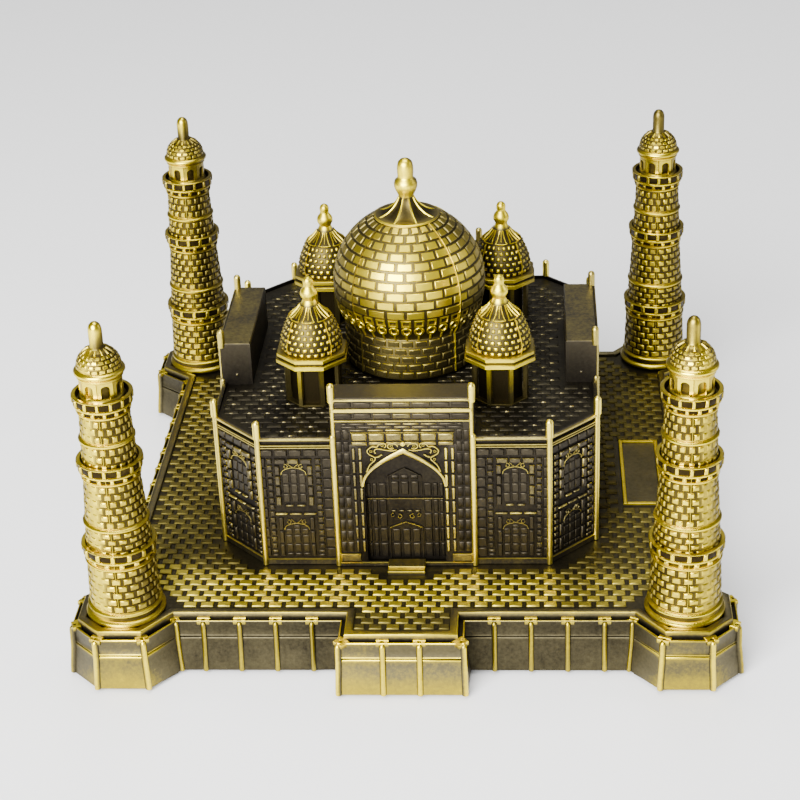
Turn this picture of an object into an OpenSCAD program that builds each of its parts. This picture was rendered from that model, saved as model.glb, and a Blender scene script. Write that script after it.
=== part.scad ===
// Miniature domed mausoleum on a walled terrace with four minarets.
// Millimetres, +Z up, entrance front towards -Y. The origin lies under the dome,
// on the face of the pad that the model stands on.

/* [Terrace] */
// Distance between the axes of neighbouring minarets
minaret_pitch = 109; // [104:0.5:114]
// Height of the terrace deck above the table
deck_z = 12.4; // [11:0.2:14]
// Distance from the dome axis to the outer face of a terrace wall
terrace_half = 57.5; // [57:0.1:58.5]
// Distance from a bastion's axis to its flat faces
bastion_half = 10.4; // [9.8:0.1:11]
// Corner cut of a bastion
bastion_cut = 5.6; // [5:0.1:6]
// Half width of the forecourt that projects at the front
forecourt_half = 12.5; // [11:0.1:14]
// Distance from the dome axis to the forecourt's front wall
forecourt_front = 66.5; // [65.5:0.1:68]
// Thickness of the cast terrace walls and deck
shell_t = 1.8; // [1.4:0.1:2.2]
// Width of the raised rim along the terrace edge
rim_w = 2.2; // [1.8:0.1:2.6]
// Height of the raised rim above the deck
rim_h = 0.5; // [0.3:0.1:0.8]
// Distance between the half round ribs on the terrace walls
rib_pitch = 7.1; // [7:0.05:7.2]
// Thickness of the soft pad under the terrace
pad_t = 0.8; // [0.5:0.1:1.2]

/* [Mausoleum] */
// Distance from the dome axis to the outer face of a wall
hall_half = 38.3; // [37.5:0.1:39]
// Corner cut of the mausoleum plan
hall_cut = 9.6; // [9:0.1:10.5]
// Height of the walls above the deck
wall_h = 29; // [28:0.2:31]
// Thickness of the cast walls
wall_t = 1.7; // [1.4:0.1:2]
// Width of a portal between its pinnacles
portal_w = 28.3; // [27:0.1:29.5]
// Height of a portal above the deck
portal_h = 37.8; // [36:0.2:40]
// Front to back thickness of a portal
portal_t = 6.3; // [5.6:0.1:7]
// Radius of corner posts and pinnacles
post_r = 0.75; // [0.6:0.05:0.9]

/* [Domes] */
// Radius of the drum under the main dome
drum_r = 13.7; // [13:0.1:14]
// Largest radius of the main dome
dome_r = 15.85; // [15.4:0.05:16.2]
// Height of the main dome's widest ring above the deck
dome_z = 45.8; // [45:0.1:47]
// Height of the top of the main finial above the deck
dome_top = 72.4; // [70:0.2:75]
// Distance of each kiosk from the dome axis, along X and along Y
kiosk_at = 19; // [18.6:0.1:19.4]
// Half width of a kiosk's eight sided eave
kiosk_eave = 7.1; // [6.8:0.1:7.3]
// Radius of a kiosk's dome
kiosk_r = 6; // [5.6:0.1:6.2]

/* [Minarets] */
// Radius of the shaft at its foot
shaft_foot_r = 6.9; // [6.6:0.1:7.1]
// Height of the top of a minaret above the deck
minaret_h = 62.4; // [60:0.2:65]
// Radius of the stepped ring at a minaret's foot
foot_ring_r = 7.8; // [7.6:0.1:8]

/* [Hidden] */
$fn = 64;

fit = 0.05;                       // clearance between neighbouring castings
eps = 0.01;                       // overlap that keeps joined shapes one solid
pitch_half = minaret_pitch / 2;
corners = [[-1, -1], [1, -1], [-1, 1], [1, 1]];
gold = [0.74, 0.62, 0.27];
bronze = [0.28, 0.24, 0.16];
steel = [0.62, 0.62, 0.62];

// Screws: self tapping, pan head, driven upwards from below
screw_r = 1.1;
hole_r = screw_r + fit;
head_r = 2.1;
head_h = 1.3;
boss_r = 3;
body_screw_at = 25;
dome_screw_at = 10.4;
floor_t = 2.4;
roof_t = 1.8;
roof_z = deck_z + wall_h;
portal_proud = 0.3;
portal_y = hall_half + portal_proud;
portal_screw_at = hall_half - 4.1;

// ---- outlines -------------------------------------------------------------

// Square with its corners cut off, listed anticlockwise
function cut_square(half, cut) = [
    [half, -half + cut], [half, half - cut], [half - cut, half], [-half + cut, half],
    [-half, half - cut], [-half, -half + cut], [-half + cut, -half], [half - cut, -half]
];

// Corner cut that keeps an outline set in by t parallel to the first one
function inset_cut(cut, t) = cut - (2 - sqrt(2)) * t;

// Points on an arc in the profile plane
function arc(cx, cz, r, a0, a1, n) = [
    for (i = [0 : n]) [cx + r * cos(a0 + (a1 - a0) * i / n), cz + r * sin(a0 + (a1 - a0) * i / n)]
];

// Points on a curve that bends smoothly from p to q, with c pulling it
function bend(p, c, q, n) = [
    for (i = [0 : n]) let (u = i / n) (1 - u) * (1 - u) * p + 2 * u * (1 - u) * c + u * u * q
];

// Pointed arch, half width w, springing at height s, apex at height a
function arch(w, s, a) = let (
    rise = a - s,
    r = (w * w + rise * rise) / (2 * w),
    sweep = asin(rise / r)
) concat(
    [[-w, 0], [w, 0]],
    arc(w - r, s, r, 0, sweep, 8),
    [for (i = [7 : -1 : 0]) [-(w - r + r * cos(sweep * i / 8)), s + r * sin(sweep * i / 8)]]
);

module slab(points, z0, z1) {
    translate([0, 0, z0])
        linear_extrude(height = z1 - z0)
            polygon(points);
}

module box(x, y, z) {
    translate([x[0], y[0], z[0]])
        cube([x[1] - x[0], y[1] - y[0], z[1] - z[0]]);
}

module at_corners(d) {
    for (c = corners)
        translate([c[0] * d, c[1] * d, 0])
            children();
}

// Post with a rounded top, from z0 to z1
module post(r, z0, z1) {
    translate([0, 0, z0])
        cylinder(r = r, h = z1 - z0 - r);
    translate([0, 0, z1 - r])
        sphere(r = r);
}

// ---- terrace --------------------------------------------------------------

// Whole terrace outline, set in by t and standing between z0 and z1
module terrace_block(t, z0, z1) {
    half = terrace_half - t;
    box([-half, half], [-half, half], [z0, z1]);
    box([-forecourt_half + t, forecourt_half - t], [-forecourt_front + t, 0], [z0, z1]);
    for (c = corners)
        translate([c[0] * pitch_half, c[1] * pitch_half, 0])
            slab(cut_square(bastion_half - t, inset_cut(bastion_cut, t)), z0, z1);
}

// Row of half round ribs along one terrace wall, starting at rib number first
module wall_ribs(first) {
    for (side = [-1, 1])
        for (i = [first : 5])
            translate([side * (i + 0.5) * rib_pitch, -terrace_half, pad_t])
                cylinder(r = 0.75, h = deck_z - pad_t - 1, $fn = 24);
}

module plaque_frame() {
    cx = 48.8;
    cy = -1.9;
    half_w = 3.9;
    half_l = 14;
    line = 0.8;
    difference() {
        box([cx - half_w, cx + half_w], [cy - half_l, cy + half_l], [deck_z - eps, deck_z + 0.5]);
        box([cx - half_w + line, cx + half_w - line], [cy - half_l + line, cy + half_l - line],
            [deck_z + 0.2, deck_z + 1]);
    }
}

module base_plinth() {
    color(gold)
    difference() {
        union() {
            terrace_block(0, pad_t, deck_z);
            difference() {
                terrace_block(0, deck_z - eps, deck_z + rim_h);
                terrace_block(rim_w, deck_z - 1, deck_z + 2);
                at_corners(pitch_half)
                    cylinder(r = foot_ring_r + 0.1, h = deck_z + 2);
            }
            wall_ribs(2);
            for (turn = [90, 180, 270])
                rotate([0, 0, turn])
                    wall_ribs(0);
            for (side = [-1, 1])
                translate([side * 3.6, -forecourt_front, pad_t])
                    cylinder(r = 0.75, h = deck_z - pad_t - 1, $fn = 24);
            plaque_frame();
            box([-3.7, 3.7], [-42.2, -portal_y - 0.5], [deck_z - eps, deck_z + 0.9]);
        }
        difference() {
            terrace_block(shell_t, pad_t - 1, deck_z - shell_t);
            at_corners(pitch_half)
                cylinder(r = boss_r, h = deck_z);
            at_corners(body_screw_at)
                cylinder(r = boss_r, h = deck_z);
        }
        // screw holes, and wells that let the heads in from below
        at_corners(pitch_half) {
            cylinder(r = hole_r, h = deck_z + 2);
            cylinder(r = head_r + 0.2, h = deck_z - 2.6);
        }
        at_corners(body_screw_at) {
            cylinder(r = hole_r, h = deck_z + 2);
            cylinder(r = head_r + 0.2, h = deck_z - 2.6);
        }
    }
}

module base_pad() {
    color([0.12, 0.12, 0.12])
    terrace_block(0.6, 0, pad_t);
}

// ---- mausoleum ------------------------------------------------------------

module hall_outline(t, z0, z1) {
    slab(cut_square(hall_half - t, inset_cut(hall_cut, t)), z0, z1);
}

// Two storeys of shallow pointed windows in the panel that faces -Y
module window_pair(x, depth) {
    for (z = [0.9, 13.2])
        translate([x, depth, deck_z + z])
            rotate([90, 0, 0])
                linear_extrude(height = depth * 2)
                    polygon(arch(2.3, 7, 9.6));
}

module wall_windows() {
    depth = 0.6;
    diagonal = (hall_half * 2 - hall_cut) / sqrt(2);
    for (turn = [0, 90, 180, 270])
        rotate([0, 0, turn]) {
            for (side = [-1, 1])
                translate([0, -hall_half, 0])
                    window_pair(side * 21.8, depth);
            rotate([0, 0, 45])
                translate([0, -diagonal, 0])
                    window_pair(0, depth);
        }
}

module wall_shell() {
    face = hall_half - hall_cut;
    slot = portal_w / 2 + fit;
    color(bronze)
    difference() {
        union() {
            difference() {
                hall_outline(0, deck_z, roof_z);
                hall_outline(wall_t, deck_z + floor_t, roof_z + 1);
            }
            for (turn = [0, 90, 180, 270])
                rotate([0, 0, turn])
                    for (side = [-1, 1])
                        translate([side * face, -hall_half, 0])
                            post(post_r, deck_z, deck_z + 32.8);
        }
        for (turn = [0, 90, 180, 270])
            rotate([0, 0, turn]) {
                box([-slot, slot], [-hall_half - 2, -hall_half + portal_t - portal_proud + fit],
                    [deck_z + floor_t, roof_z + 1]);
                box([-slot, slot], [-hall_half - 2, -hall_half + 1], [deck_z - 1, roof_z]);
                translate([0, -portal_screw_at, deck_z - 1]) {
                    cylinder(r = hole_r, h = floor_t + 2);
                    cylinder(r = head_r + 0.1, h = head_h + 1.1);
                }
            }
        wall_windows();
        at_corners(body_screw_at)
            translate([0, 0, deck_z - 1])
                cylinder(r = hole_r, h = floor_t + 2);
    }
}

module roof_plate() {
    t = wall_t + fit;
    notch = portal_w / 2 + fit;
    color(bronze)
    difference() {
        union() {
            hall_outline(t, roof_z - roof_t, roof_z);
            at_corners(body_screw_at)
                translate([0, 0, deck_z + floor_t])
                    cylinder(r = boss_r, h = wall_h - floor_t - 1);
        }
        for (turn = [0, 90, 180, 270])
            rotate([0, 0, turn])
                box([-notch, notch], [-hall_half - 2, -hall_half + portal_t - portal_proud + fit],
                    [roof_z - 5, roof_z + 1]);
        at_corners(body_screw_at)
            translate([0, 0, deck_z])
                cylinder(r = screw_r + 0.02, h = 14);
        at_corners(kiosk_at)
            translate([0, 0, roof_z - 5])
                cylinder(r = hole_r, h = 10);
        for (side = [-1, 1])
            translate([side * dome_screw_at, 0, roof_z - 5])
                cylinder(r = hole_r, h = 10);
    }
}

// Portal that faces -Y, standing on the floor of the wall casting
module portal() {
    foot = deck_z + floor_t;
    half = portal_w / 2;
    color(bronze)
    difference() {
        union() {
            box([-half, half], [-portal_y, -portal_y + portal_t], [foot, deck_z + portal_h]);
            box([-half, half], [-portal_y, -hall_half + 1 - fit], [deck_z, foot + eps]);
            for (side = [-1, 1])
                translate([side * (half - post_r), -portal_y, 0])
                    post(post_r, deck_z, deck_z + 40.9);
        }
        translate([0, -portal_y + 2.4, foot])
            rotate([90, 0, 0])
                linear_extrude(height = 5)
                    polygon(arch(8.1, 16.2, 22.8));
        translate([0, -portal_screw_at, deck_z])
            cylinder(r = screw_r + 0.02, h = floor_t + 7);
    }
}

module portal_front() { portal(); }
module portal_right() { rotate([0, 0, 90]) portal(); }
module portal_back() { rotate([0, 0, 180]) portal(); }
module portal_left() { rotate([0, 0, 270]) portal(); }

// ---- domes ----------------------------------------------------------------

// Outer profile of the main dome: drum, bulb, lotus cap and two bead finial
function dome_profile() = let (
    low = -asin((dome_z - 38) / dome_r) + 0.5,
    high = asin(14.6 / dome_r)
) concat(
    [[0, wall_h], [drum_r, wall_h], [drum_r, 38]],
    arc(0, dome_z, dome_r, low, high, 14),
    bend([6.3, dome_z + 15], [2.4, dome_z + 16.4], [1.4, 65], 4),
    bend([1.5, 65.2], [3.3, 67.1], [1.5, 68.9], 5),
    bend([1.5, 69], [2.2, 70.4], [0.9, dome_top - 0.5], 4),
    [[0.45, dome_top], [0, dome_top]]
);

module main_dome() {
    well_r = drum_r - 1.7;
    color(gold)
    translate([0, 0, deck_z])
    difference() {
        rotate_extrude()
            polygon(dome_profile());
        difference() {
            union() {
                translate([0, 0, wall_h - 1])
                    cylinder(r = well_r, h = dome_z - wall_h);
                translate([0, 0, dome_z])
                    sphere(r = dome_r - 2.2);
            }
            for (side = [-1, 1])
                translate([side * dome_screw_at, 0, 0])
                    cylinder(r = 2.4, h = wall_h + 9);
            translate([-20, -20, 0])
                cube([40, 40, wall_h - 2]);
        }
        for (side = [-1, 1])
            translate([side * dome_screw_at, 0, wall_h - 1])
                cylinder(r = screw_r + 0.02, h = 8);
    }
}

// Kiosk on the roof: eight columns round a core, an eave and a bulb
function kiosk_profile() = concat(
    [[0, 40], [kiosk_r - 0.3, 40]],
    bend([kiosk_r - 0.3, 40.3], [kiosk_r + 1, 43.4], [4.4, 46.6], 6),
    bend([4.2, 46.8], [1.6, 48], [0.8, 49.7], 4),
    bend([0.9, 49.8], [1.8, 51.2], [0.8, 52.6], 4),
    bend([0.8, 52.7], [1.3, 53.9], [0.4, 54.9], 3),
    [[0, 54.95]]
);

module kiosk() {
    column = 0.9;
    ring = 5.6;
    color(gold)
    translate([0, 0, deck_z])
    difference() {
        union() {
            rotate([0, 0, 22.5])
                translate([0, 0, wall_h])
                    cylinder(r = 4.6, h = 9, $fn = 8);
            for (i = [0 : 7])
                rotate([0, 0, 22.5 + 45 * i])
                    translate([ring - column / 2, -column / 2, wall_h])
                        cube([column, column, 9]);
            for (level = [[37.5, 38.7, 0], [38.6, 39.3, 0.5], [39.2, 40.2, 0.1]])
                slab(cut_square(kiosk_eave - level[2], (kiosk_eave - level[2]) * (2 - sqrt(2))),
                    level[0], level[1]);
            rotate_extrude()
                polygon(kiosk_profile());
        }
        translate([0, 0, wall_h - 1])
            cylinder(r = screw_r + 0.02, h = 8);
    }
}

module kiosk_front_left() { translate([-kiosk_at, -kiosk_at, 0]) kiosk(); }
module kiosk_front_right() { translate([kiosk_at, -kiosk_at, 0]) kiosk(); }
module kiosk_back_left() { translate([-kiosk_at, kiosk_at, 0]) kiosk(); }
module kiosk_back_right() { translate([kiosk_at, kiosk_at, 0]) kiosk(); }

// ---- minarets -------------------------------------------------------------

// Balcony whose parapet is widest at height z, on a shaft of radius s
function balcony(z, s, r) = [
    [s, z - 2.9], [s + 0.45, z - 2.7], [s + 0.3, z - 2.3], [s + 0.3, z - 1.5],
    [r - 0.5, z - 1.2], [r - 0.3, z - 0.7], [r, z], [r - 0.1, z + 0.9], [r - 0.9, z + 0.9], [s, z + 0.4]
];

// Thin round bead on a shaft of radius s
function bead(z, s) = [[s, z - 0.5], [s + 0.4, z - 0.25], [s + 0.4, z + 0.25], [s, z + 0.5]];

function minaret_profile() = let (
    taper = (shaft_foot_r - 4.6) / 45,
    shaft = function (z) shaft_foot_r - taper * z
) concat(
    [[0, 0], [foot_ring_r, 0], [foot_ring_r, 0.9], [foot_ring_r - 0.5, 1.5], [foot_ring_r - 0.3, 2.6],
        [shaft_foot_r + 0.1, 3.1]],
    balcony(15.3, shaft(13), 7.45),
    bead(21, shaft(21)),
    balcony(33.4, shaft(32), 6.55),
    bead(38.8, shaft(38.8)),
    balcony(47.15, shaft(45), 5.95),
    [[4.1, 47.6], [4.1, 51.6], [4.5, 51.7], [4.7, 52], [4.5, 52.4], [4.85, 52.7], [4.85, 53.2], [4.4, 53.6]],
    bend([4.35, 53.8], [4.2, 57.2], [1.6, 58.4], 6),
    [[1.1, 58.5], [1.35, 59.6], [1.35, minaret_h - 0.8], [0.9, minaret_h - 0.2], [0.4, minaret_h],
        [0, minaret_h]]
);

module minaret() {
    color(gold)
    translate([0, 0, deck_z])
    difference() {
        rotate_extrude()
            polygon(minaret_profile());
        translate([0, 0, -1])
            cylinder(r = screw_r + 0.02, h = 13);
        for (i = [0 : 7])
            rotate([0, 0, 45 * i])
                translate([3.5, -0.75, 48.6])
                    cube([2, 1.5, 2.4]);
    }
}

module minaret_front_left() { translate([-pitch_half, -pitch_half, 0]) minaret(); }
module minaret_front_right() { translate([pitch_half, -pitch_half, 0]) minaret(); }
module minaret_back_left() { translate([-pitch_half, pitch_half, 0]) minaret(); }
module minaret_back_right() { translate([pitch_half, pitch_half, 0]) minaret(); }

// ---- fasteners ------------------------------------------------------------

// Pan head screw with a cross recess, its head seated at z = 0 and its shank up
module screw(length) {
    slot = 0.5;
    difference() {
        union() {
            translate([0, 0, -head_h])
                cylinder(r = head_r, h = head_h);
            translate([0, 0, -eps])
                cylinder(r = screw_r, h = length);
        }
        for (turn = [0, 90])
            rotate([0, 0, turn])
                translate([-1.2, -slot / 2, -head_h - 1])
                    cube([2.4, slot, 1.7]);
    }
}

module minaret_screws() {
    color(steel)
    at_corners(pitch_half)
        translate([0, 0, deck_z - 2.6])
            screw(12);
}

module body_screws() {
    color(steel)
    at_corners(body_screw_at)
        translate([0, 0, deck_z - 2.6])
            screw(14);
}

module portal_screws() {
    color(steel)
    for (turn = [0, 90, 180, 270])
        rotate([0, 0, turn])
            translate([0, -portal_screw_at, deck_z + head_h + 0.1])
                screw(7);
}

module dome_screws() {
    color(steel)
    for (side = [-1, 1])
        translate([side * dome_screw_at, 0, roof_z - roof_t])
            screw(7);
}

module kiosk_screws() {
    color(steel)
    at_corners(kiosk_at)
        translate([0, 0, roof_z - roof_t])
            screw(7);
}

base_plinth();
base_pad();
wall_shell();
roof_plate();
portal_front();
portal_back();
portal_left();
portal_right();
minaret_front_left();
minaret_front_right();
minaret_back_left();
minaret_back_right();
main_dome();
kiosk_front_left();
kiosk_front_right();
kiosk_back_left();
kiosk_back_right();
minaret_screws();
body_screws();
portal_screws();
dome_screws();
kiosk_screws();
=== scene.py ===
"""Miniature domed mausoleum in antique brass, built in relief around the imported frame."""

import math
import random

import bpy
import numpy as np
from mathutils import Matrix, Vector


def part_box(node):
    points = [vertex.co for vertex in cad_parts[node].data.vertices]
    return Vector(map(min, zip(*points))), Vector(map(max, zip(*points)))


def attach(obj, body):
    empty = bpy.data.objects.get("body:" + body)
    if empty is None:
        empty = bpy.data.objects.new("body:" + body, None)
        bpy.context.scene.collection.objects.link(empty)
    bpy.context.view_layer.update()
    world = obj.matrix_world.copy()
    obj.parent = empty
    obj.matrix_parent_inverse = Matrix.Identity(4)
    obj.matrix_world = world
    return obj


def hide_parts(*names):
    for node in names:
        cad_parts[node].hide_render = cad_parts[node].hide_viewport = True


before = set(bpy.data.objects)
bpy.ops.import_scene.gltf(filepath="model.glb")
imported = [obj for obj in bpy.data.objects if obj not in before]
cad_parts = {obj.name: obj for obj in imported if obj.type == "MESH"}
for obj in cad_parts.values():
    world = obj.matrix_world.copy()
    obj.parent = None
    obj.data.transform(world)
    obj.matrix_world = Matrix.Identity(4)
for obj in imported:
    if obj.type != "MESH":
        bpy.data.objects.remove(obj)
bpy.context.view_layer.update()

MM = 0.001
TAU = 2 * math.pi
rng = random.Random(7)


# ---- sizes taken from the frame, in millimetres -----------------------------

def box_mm(node):
    """Lowest and highest corner of a CAD node, in millimetres."""
    low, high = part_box(node)
    return np.array(low) / MM, np.array(high) / MM


plinth_low, plinth_high = box_mm("base_plinth")
wall_low, wall_high = box_mm("wall_shell")
portal_low, portal_high = box_mm("portal_front")
tower_low, tower_high = box_mm("minaret_front_right")
dome_low, dome_high = box_mm("main_dome")
kiosk_low, kiosk_high = box_mm("kiosk_front_right")

DECK = wall_low[2]
PAD_TOP = box_mm("base_pad")[1][2]
TOWER_AT = (tower_low[0] + tower_high[0]) / 2
KIOSK_AT = (kiosk_low[0] + kiosk_high[0]) / 2
PORTAL_HALF = (portal_high[0] - portal_low[0]) / 2
POST_R = 0.75
HALL = wall_high[0] - POST_R
HALL_CUT = 9.6
HALL_FACE = HALL - HALL_CUT
PORTAL_TOP = DECK + 37.8
PORTAL_DEPTH = portal_high[1] - portal_low[1] - POST_R
PORTAL_FRONT = portal_low[1] + POST_R
BASTION = plinth_high[0] - TOWER_AT
FORE_HALF = 12.5
FORE_FRONT = -plinth_low[1] - POST_R


# ---- materials --------------------------------------------------------------

def node(tree, kind, **settings):
    """A new shader node with its plain settings and its unlinked input values."""
    made = tree.nodes.new(kind)
    for key, value in settings.items():
        if hasattr(made, key):
            setattr(made, key, value)
        else:
            made.inputs[key].default_value = value
    return made


def math_node(tree, operation, *values, clamp=False):
    """Result of an operation on sockets or numbers."""
    made = node(tree, "ShaderNodeMath", operation=operation, use_clamp=clamp)
    for entry, value in zip(made.inputs, values):
        if isinstance(value, float):
            entry.default_value = value
        else:
            tree.links.new(value, entry)
    return made.outputs[0]


def ramp(tree, value, *stops):
    """Colour on a ramp. Each stop is a position and a colour."""
    made = node(tree, "ShaderNodeValToRGB")
    elements = made.color_ramp.elements
    for element, (position, colour) in zip(elements, (stops[0], stops[-1])):
        element.position = position
        element.color = (*colour, 1)
    for position, colour in stops[1:-1]:
        elements.new(position).color = (*colour, 1)
    tree.links.new(value, made.inputs["Fac"])
    return made.outputs["Color"]


def texture(tree, kind, output, **settings):
    """Value of a procedural texture laid out in the object's own coordinates."""
    made = node(tree, kind, **settings)
    place = node(tree, "ShaderNodeTexCoord")
    tree.links.new(place.outputs["Object"], made.inputs["Vector"])
    return made.outputs[output]


def finish(name, metallic, paint):
    """A material. paint(tree) gives its colour, its roughness, and a height with its strength."""
    material = bpy.data.materials.new(name)
    material.use_nodes = True
    tree = material.node_tree
    shader = tree.nodes["Principled BSDF"]
    shader.inputs["Metallic"].default_value = metallic
    colour, rough, height, strength = paint(tree)
    tree.links.new(colour, shader.inputs["Base Color"])
    if isinstance(rough, float):
        shader.inputs["Roughness"].default_value = rough
    else:
        tree.links.new(rough, shader.inputs["Roughness"])
    if strength:
        bump = node(tree, "ShaderNodeBump", Strength=strength, Distance=BUMP_DEPTH)
        tree.links.new(height, bump.inputs["Height"])
        tree.links.new(bump.outputs["Normal"], shader.inputs["Normal"])
    return material


BUMP_DEPTH = 0.0001
CAST_GRAIN = 0.12
STAINS = dict(Scale=130.0, Detail=4.0, Roughness=0.6)
SPECKS = dict(Scale=1400.0, Detail=3.0, Roughness=0.7)
MIDDLE_AT = 0.4
WARM_AT = 0.66


def plated(name, dark, middle, warm, bright, gloss, matt, grime=0.35):
    """Antique plating: dark patina where the wear attribute is 0, bright metal where it is 1. The attribute
    carries painted light and shade besides the plating's rubbed edges.
    """

    def paint(tree):
        # The wear attribute holds rubbed edges and tops, and also painted light and shade.
        wear = node(tree, "ShaderNodeAttribute", attribute_name="wear").outputs["Fac"]
        dirt = [math_node(tree, "MULTIPLY_ADD", texture(tree, "ShaderNodeTexNoise", "Fac", **noise),
                          grime, -grime / 2) for noise in (STAINS, SPECKS)]
        level = math_node(tree, "ADD", wear, math_node(tree, "ADD", *dirt), clamp=True)
        colour = ramp(tree, level, (0.0, dark), (MIDDLE_AT, middle), (WARM_AT, warm), (1.0, bright))
        rough = math_node(tree, "MULTIPLY_ADD", level, gloss - matt, matt)
        cast = texture(tree, "ShaderNodeTexNoise", "Fac", Scale=2600.0, Detail=2.0)
        return colour, rough, cast, CAST_GRAIN

    return finish(name, 1.0, paint)


deck_metal = plated(
    "deck_brass", (0.016, 0.011, 0.003), (0.12, 0.097, 0.022), (0.4, 0.32, 0.035), (0.95, 0.75, 0.045),
    0.34, 0.55)
wall_metal = plated(
    "terrace_wall_brass", (0.018, 0.015, 0.009), (0.105, 0.089, 0.045), (0.37, 0.282, 0.018),
    (0.9, 0.69, 0.02), 0.3, 0.5, 0.3)
tower_metal = plated(
    "minaret_brass", (0.024, 0.016, 0.005), (0.17, 0.13, 0.025), (0.54, 0.41, 0.022), (0.97, 0.76, 0.02),
    0.25, 0.5, 0.24)
dome_metal = plated(
    "dome_brass", (0.02, 0.015, 0.006), (0.15, 0.12, 0.036), (0.54, 0.41, 0.02), (0.97, 0.77, 0.015),
    0.36, 0.5, 0.2)
hall_metal = plated(
    "hall_bronze", (0.013, 0.011, 0.009), (0.062, 0.052, 0.034), (0.33, 0.265, 0.07), (0.93, 0.75, 0.1),
    0.32, 0.5, 0.26)
roof_metal = plated(
    "roof_bronze", (0.012, 0.01, 0.007), (0.06, 0.052, 0.03), (0.25, 0.2, 0.08), (0.75, 0.62, 0.22),
    0.36, 0.55)


def zinc_plating(tree):
    clouds = texture(tree, "ShaderNodeTexNoise", "Fac", Scale=900.0, Detail=3.0)
    return ramp(tree, clouds, (0.0, (0.5, 0.5, 0.5)), (1.0, (0.72, 0.71, 0.68))), 0.32, None, 0


def open_foam(tree):
    cells = texture(tree, "ShaderNodeTexVoronoi", "Distance", Scale=2200.0)
    return ramp(tree, cells, (0.0, (0.012, 0.012, 0.012)), (1.0, (0.045, 0.045, 0.043))), 0.9, cells, 0.5


# ---- surfaces that relief is laid on ----------------------------------------

class Plane:
    """Flat surface: u and v run along two directions, h stands off it. Millimetres."""

    def __init__(self, origin, along, up, out):
        self.origin, self.along, self.up, self.out = [np.array(a, float) for a in (origin, along, up, out)]

    def at(self, u, v, h):
        u, v, h = np.broadcast_arrays(u, v, h)
        return (self.origin + u[..., None] * self.along + v[..., None] * self.up
                + h[..., None] * self.out)

    def mm_per_u(self, v):
        return np.ones_like(np.asarray(v, float))


def flat(height):
    """Level surface facing up."""
    return Plane((0, 0, height), (1, 0, 0), (0, 1, 0), (0, 0, 1))


def facade(x, y):
    """Upright surface facing the front, with its origin on the deck."""
    return Plane((x, y, DECK), (1, 0, 0), (0, 0, 1), (0, -1, 0))


class Turned:
    """Surface of revolution: u is an angle, v runs along the profile (radius, height) points."""

    def __init__(self, centre, profile):
        self.centre = np.array(centre, float)
        self.profile = np.array(profile, float)
        steps = np.linalg.norm(np.diff(self.profile, axis=0), axis=1)
        self.stations = np.concatenate([[0], np.cumsum(steps)])
        self.length = self.stations[-1]

    def on_profile(self, v):
        """Radius and height at v, and the outward direction there."""
        def read(place):
            return [np.interp(place, self.stations, self.profile[:, i]) for i in (0, 1)]

        step = 0.05
        ahead, behind = [read(np.clip(v + d, 0, self.length)) for d in (step, -step)]
        dr, dz = ahead[0] - behind[0], ahead[1] - behind[1]
        size = np.hypot(dr, dz) + 1e-9
        return (*read(v), dz / size, -dr / size)

    def at(self, u, v, h):
        u, v, h = np.broadcast_arrays(u, v, h)
        radius, height, out, up = self.on_profile(v)
        r = radius + h * out
        return np.stack([self.centre[0] + r * np.cos(u), self.centre[1] + r * np.sin(u),
                         self.centre[2] + height + h * up], axis=-1)

    def mm_per_u(self, v):
        return np.maximum(self.on_profile(np.asarray(v, float))[0], 0.3)


# ---- mesh building ----------------------------------------------------------

def right_angle(quarter):
    """Cosine and sine of that many right angles, exactly."""
    return round(math.cos(quarter * math.pi / 2)), round(math.sin(quarter * math.pi / 2))


def grid(rows, columns):
    return np.arange(rows * columns).reshape(rows, columns)


def skin(index):
    """Quads between the rows of a grid of point numbers. Every row is a closed loop."""
    on = np.roll(index, -1, axis=1)
    return np.stack([index[:-1], on[:-1], on[1:], index[1:]], -1).reshape(-1, 4)


CREASE = math.radians(40)


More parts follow.
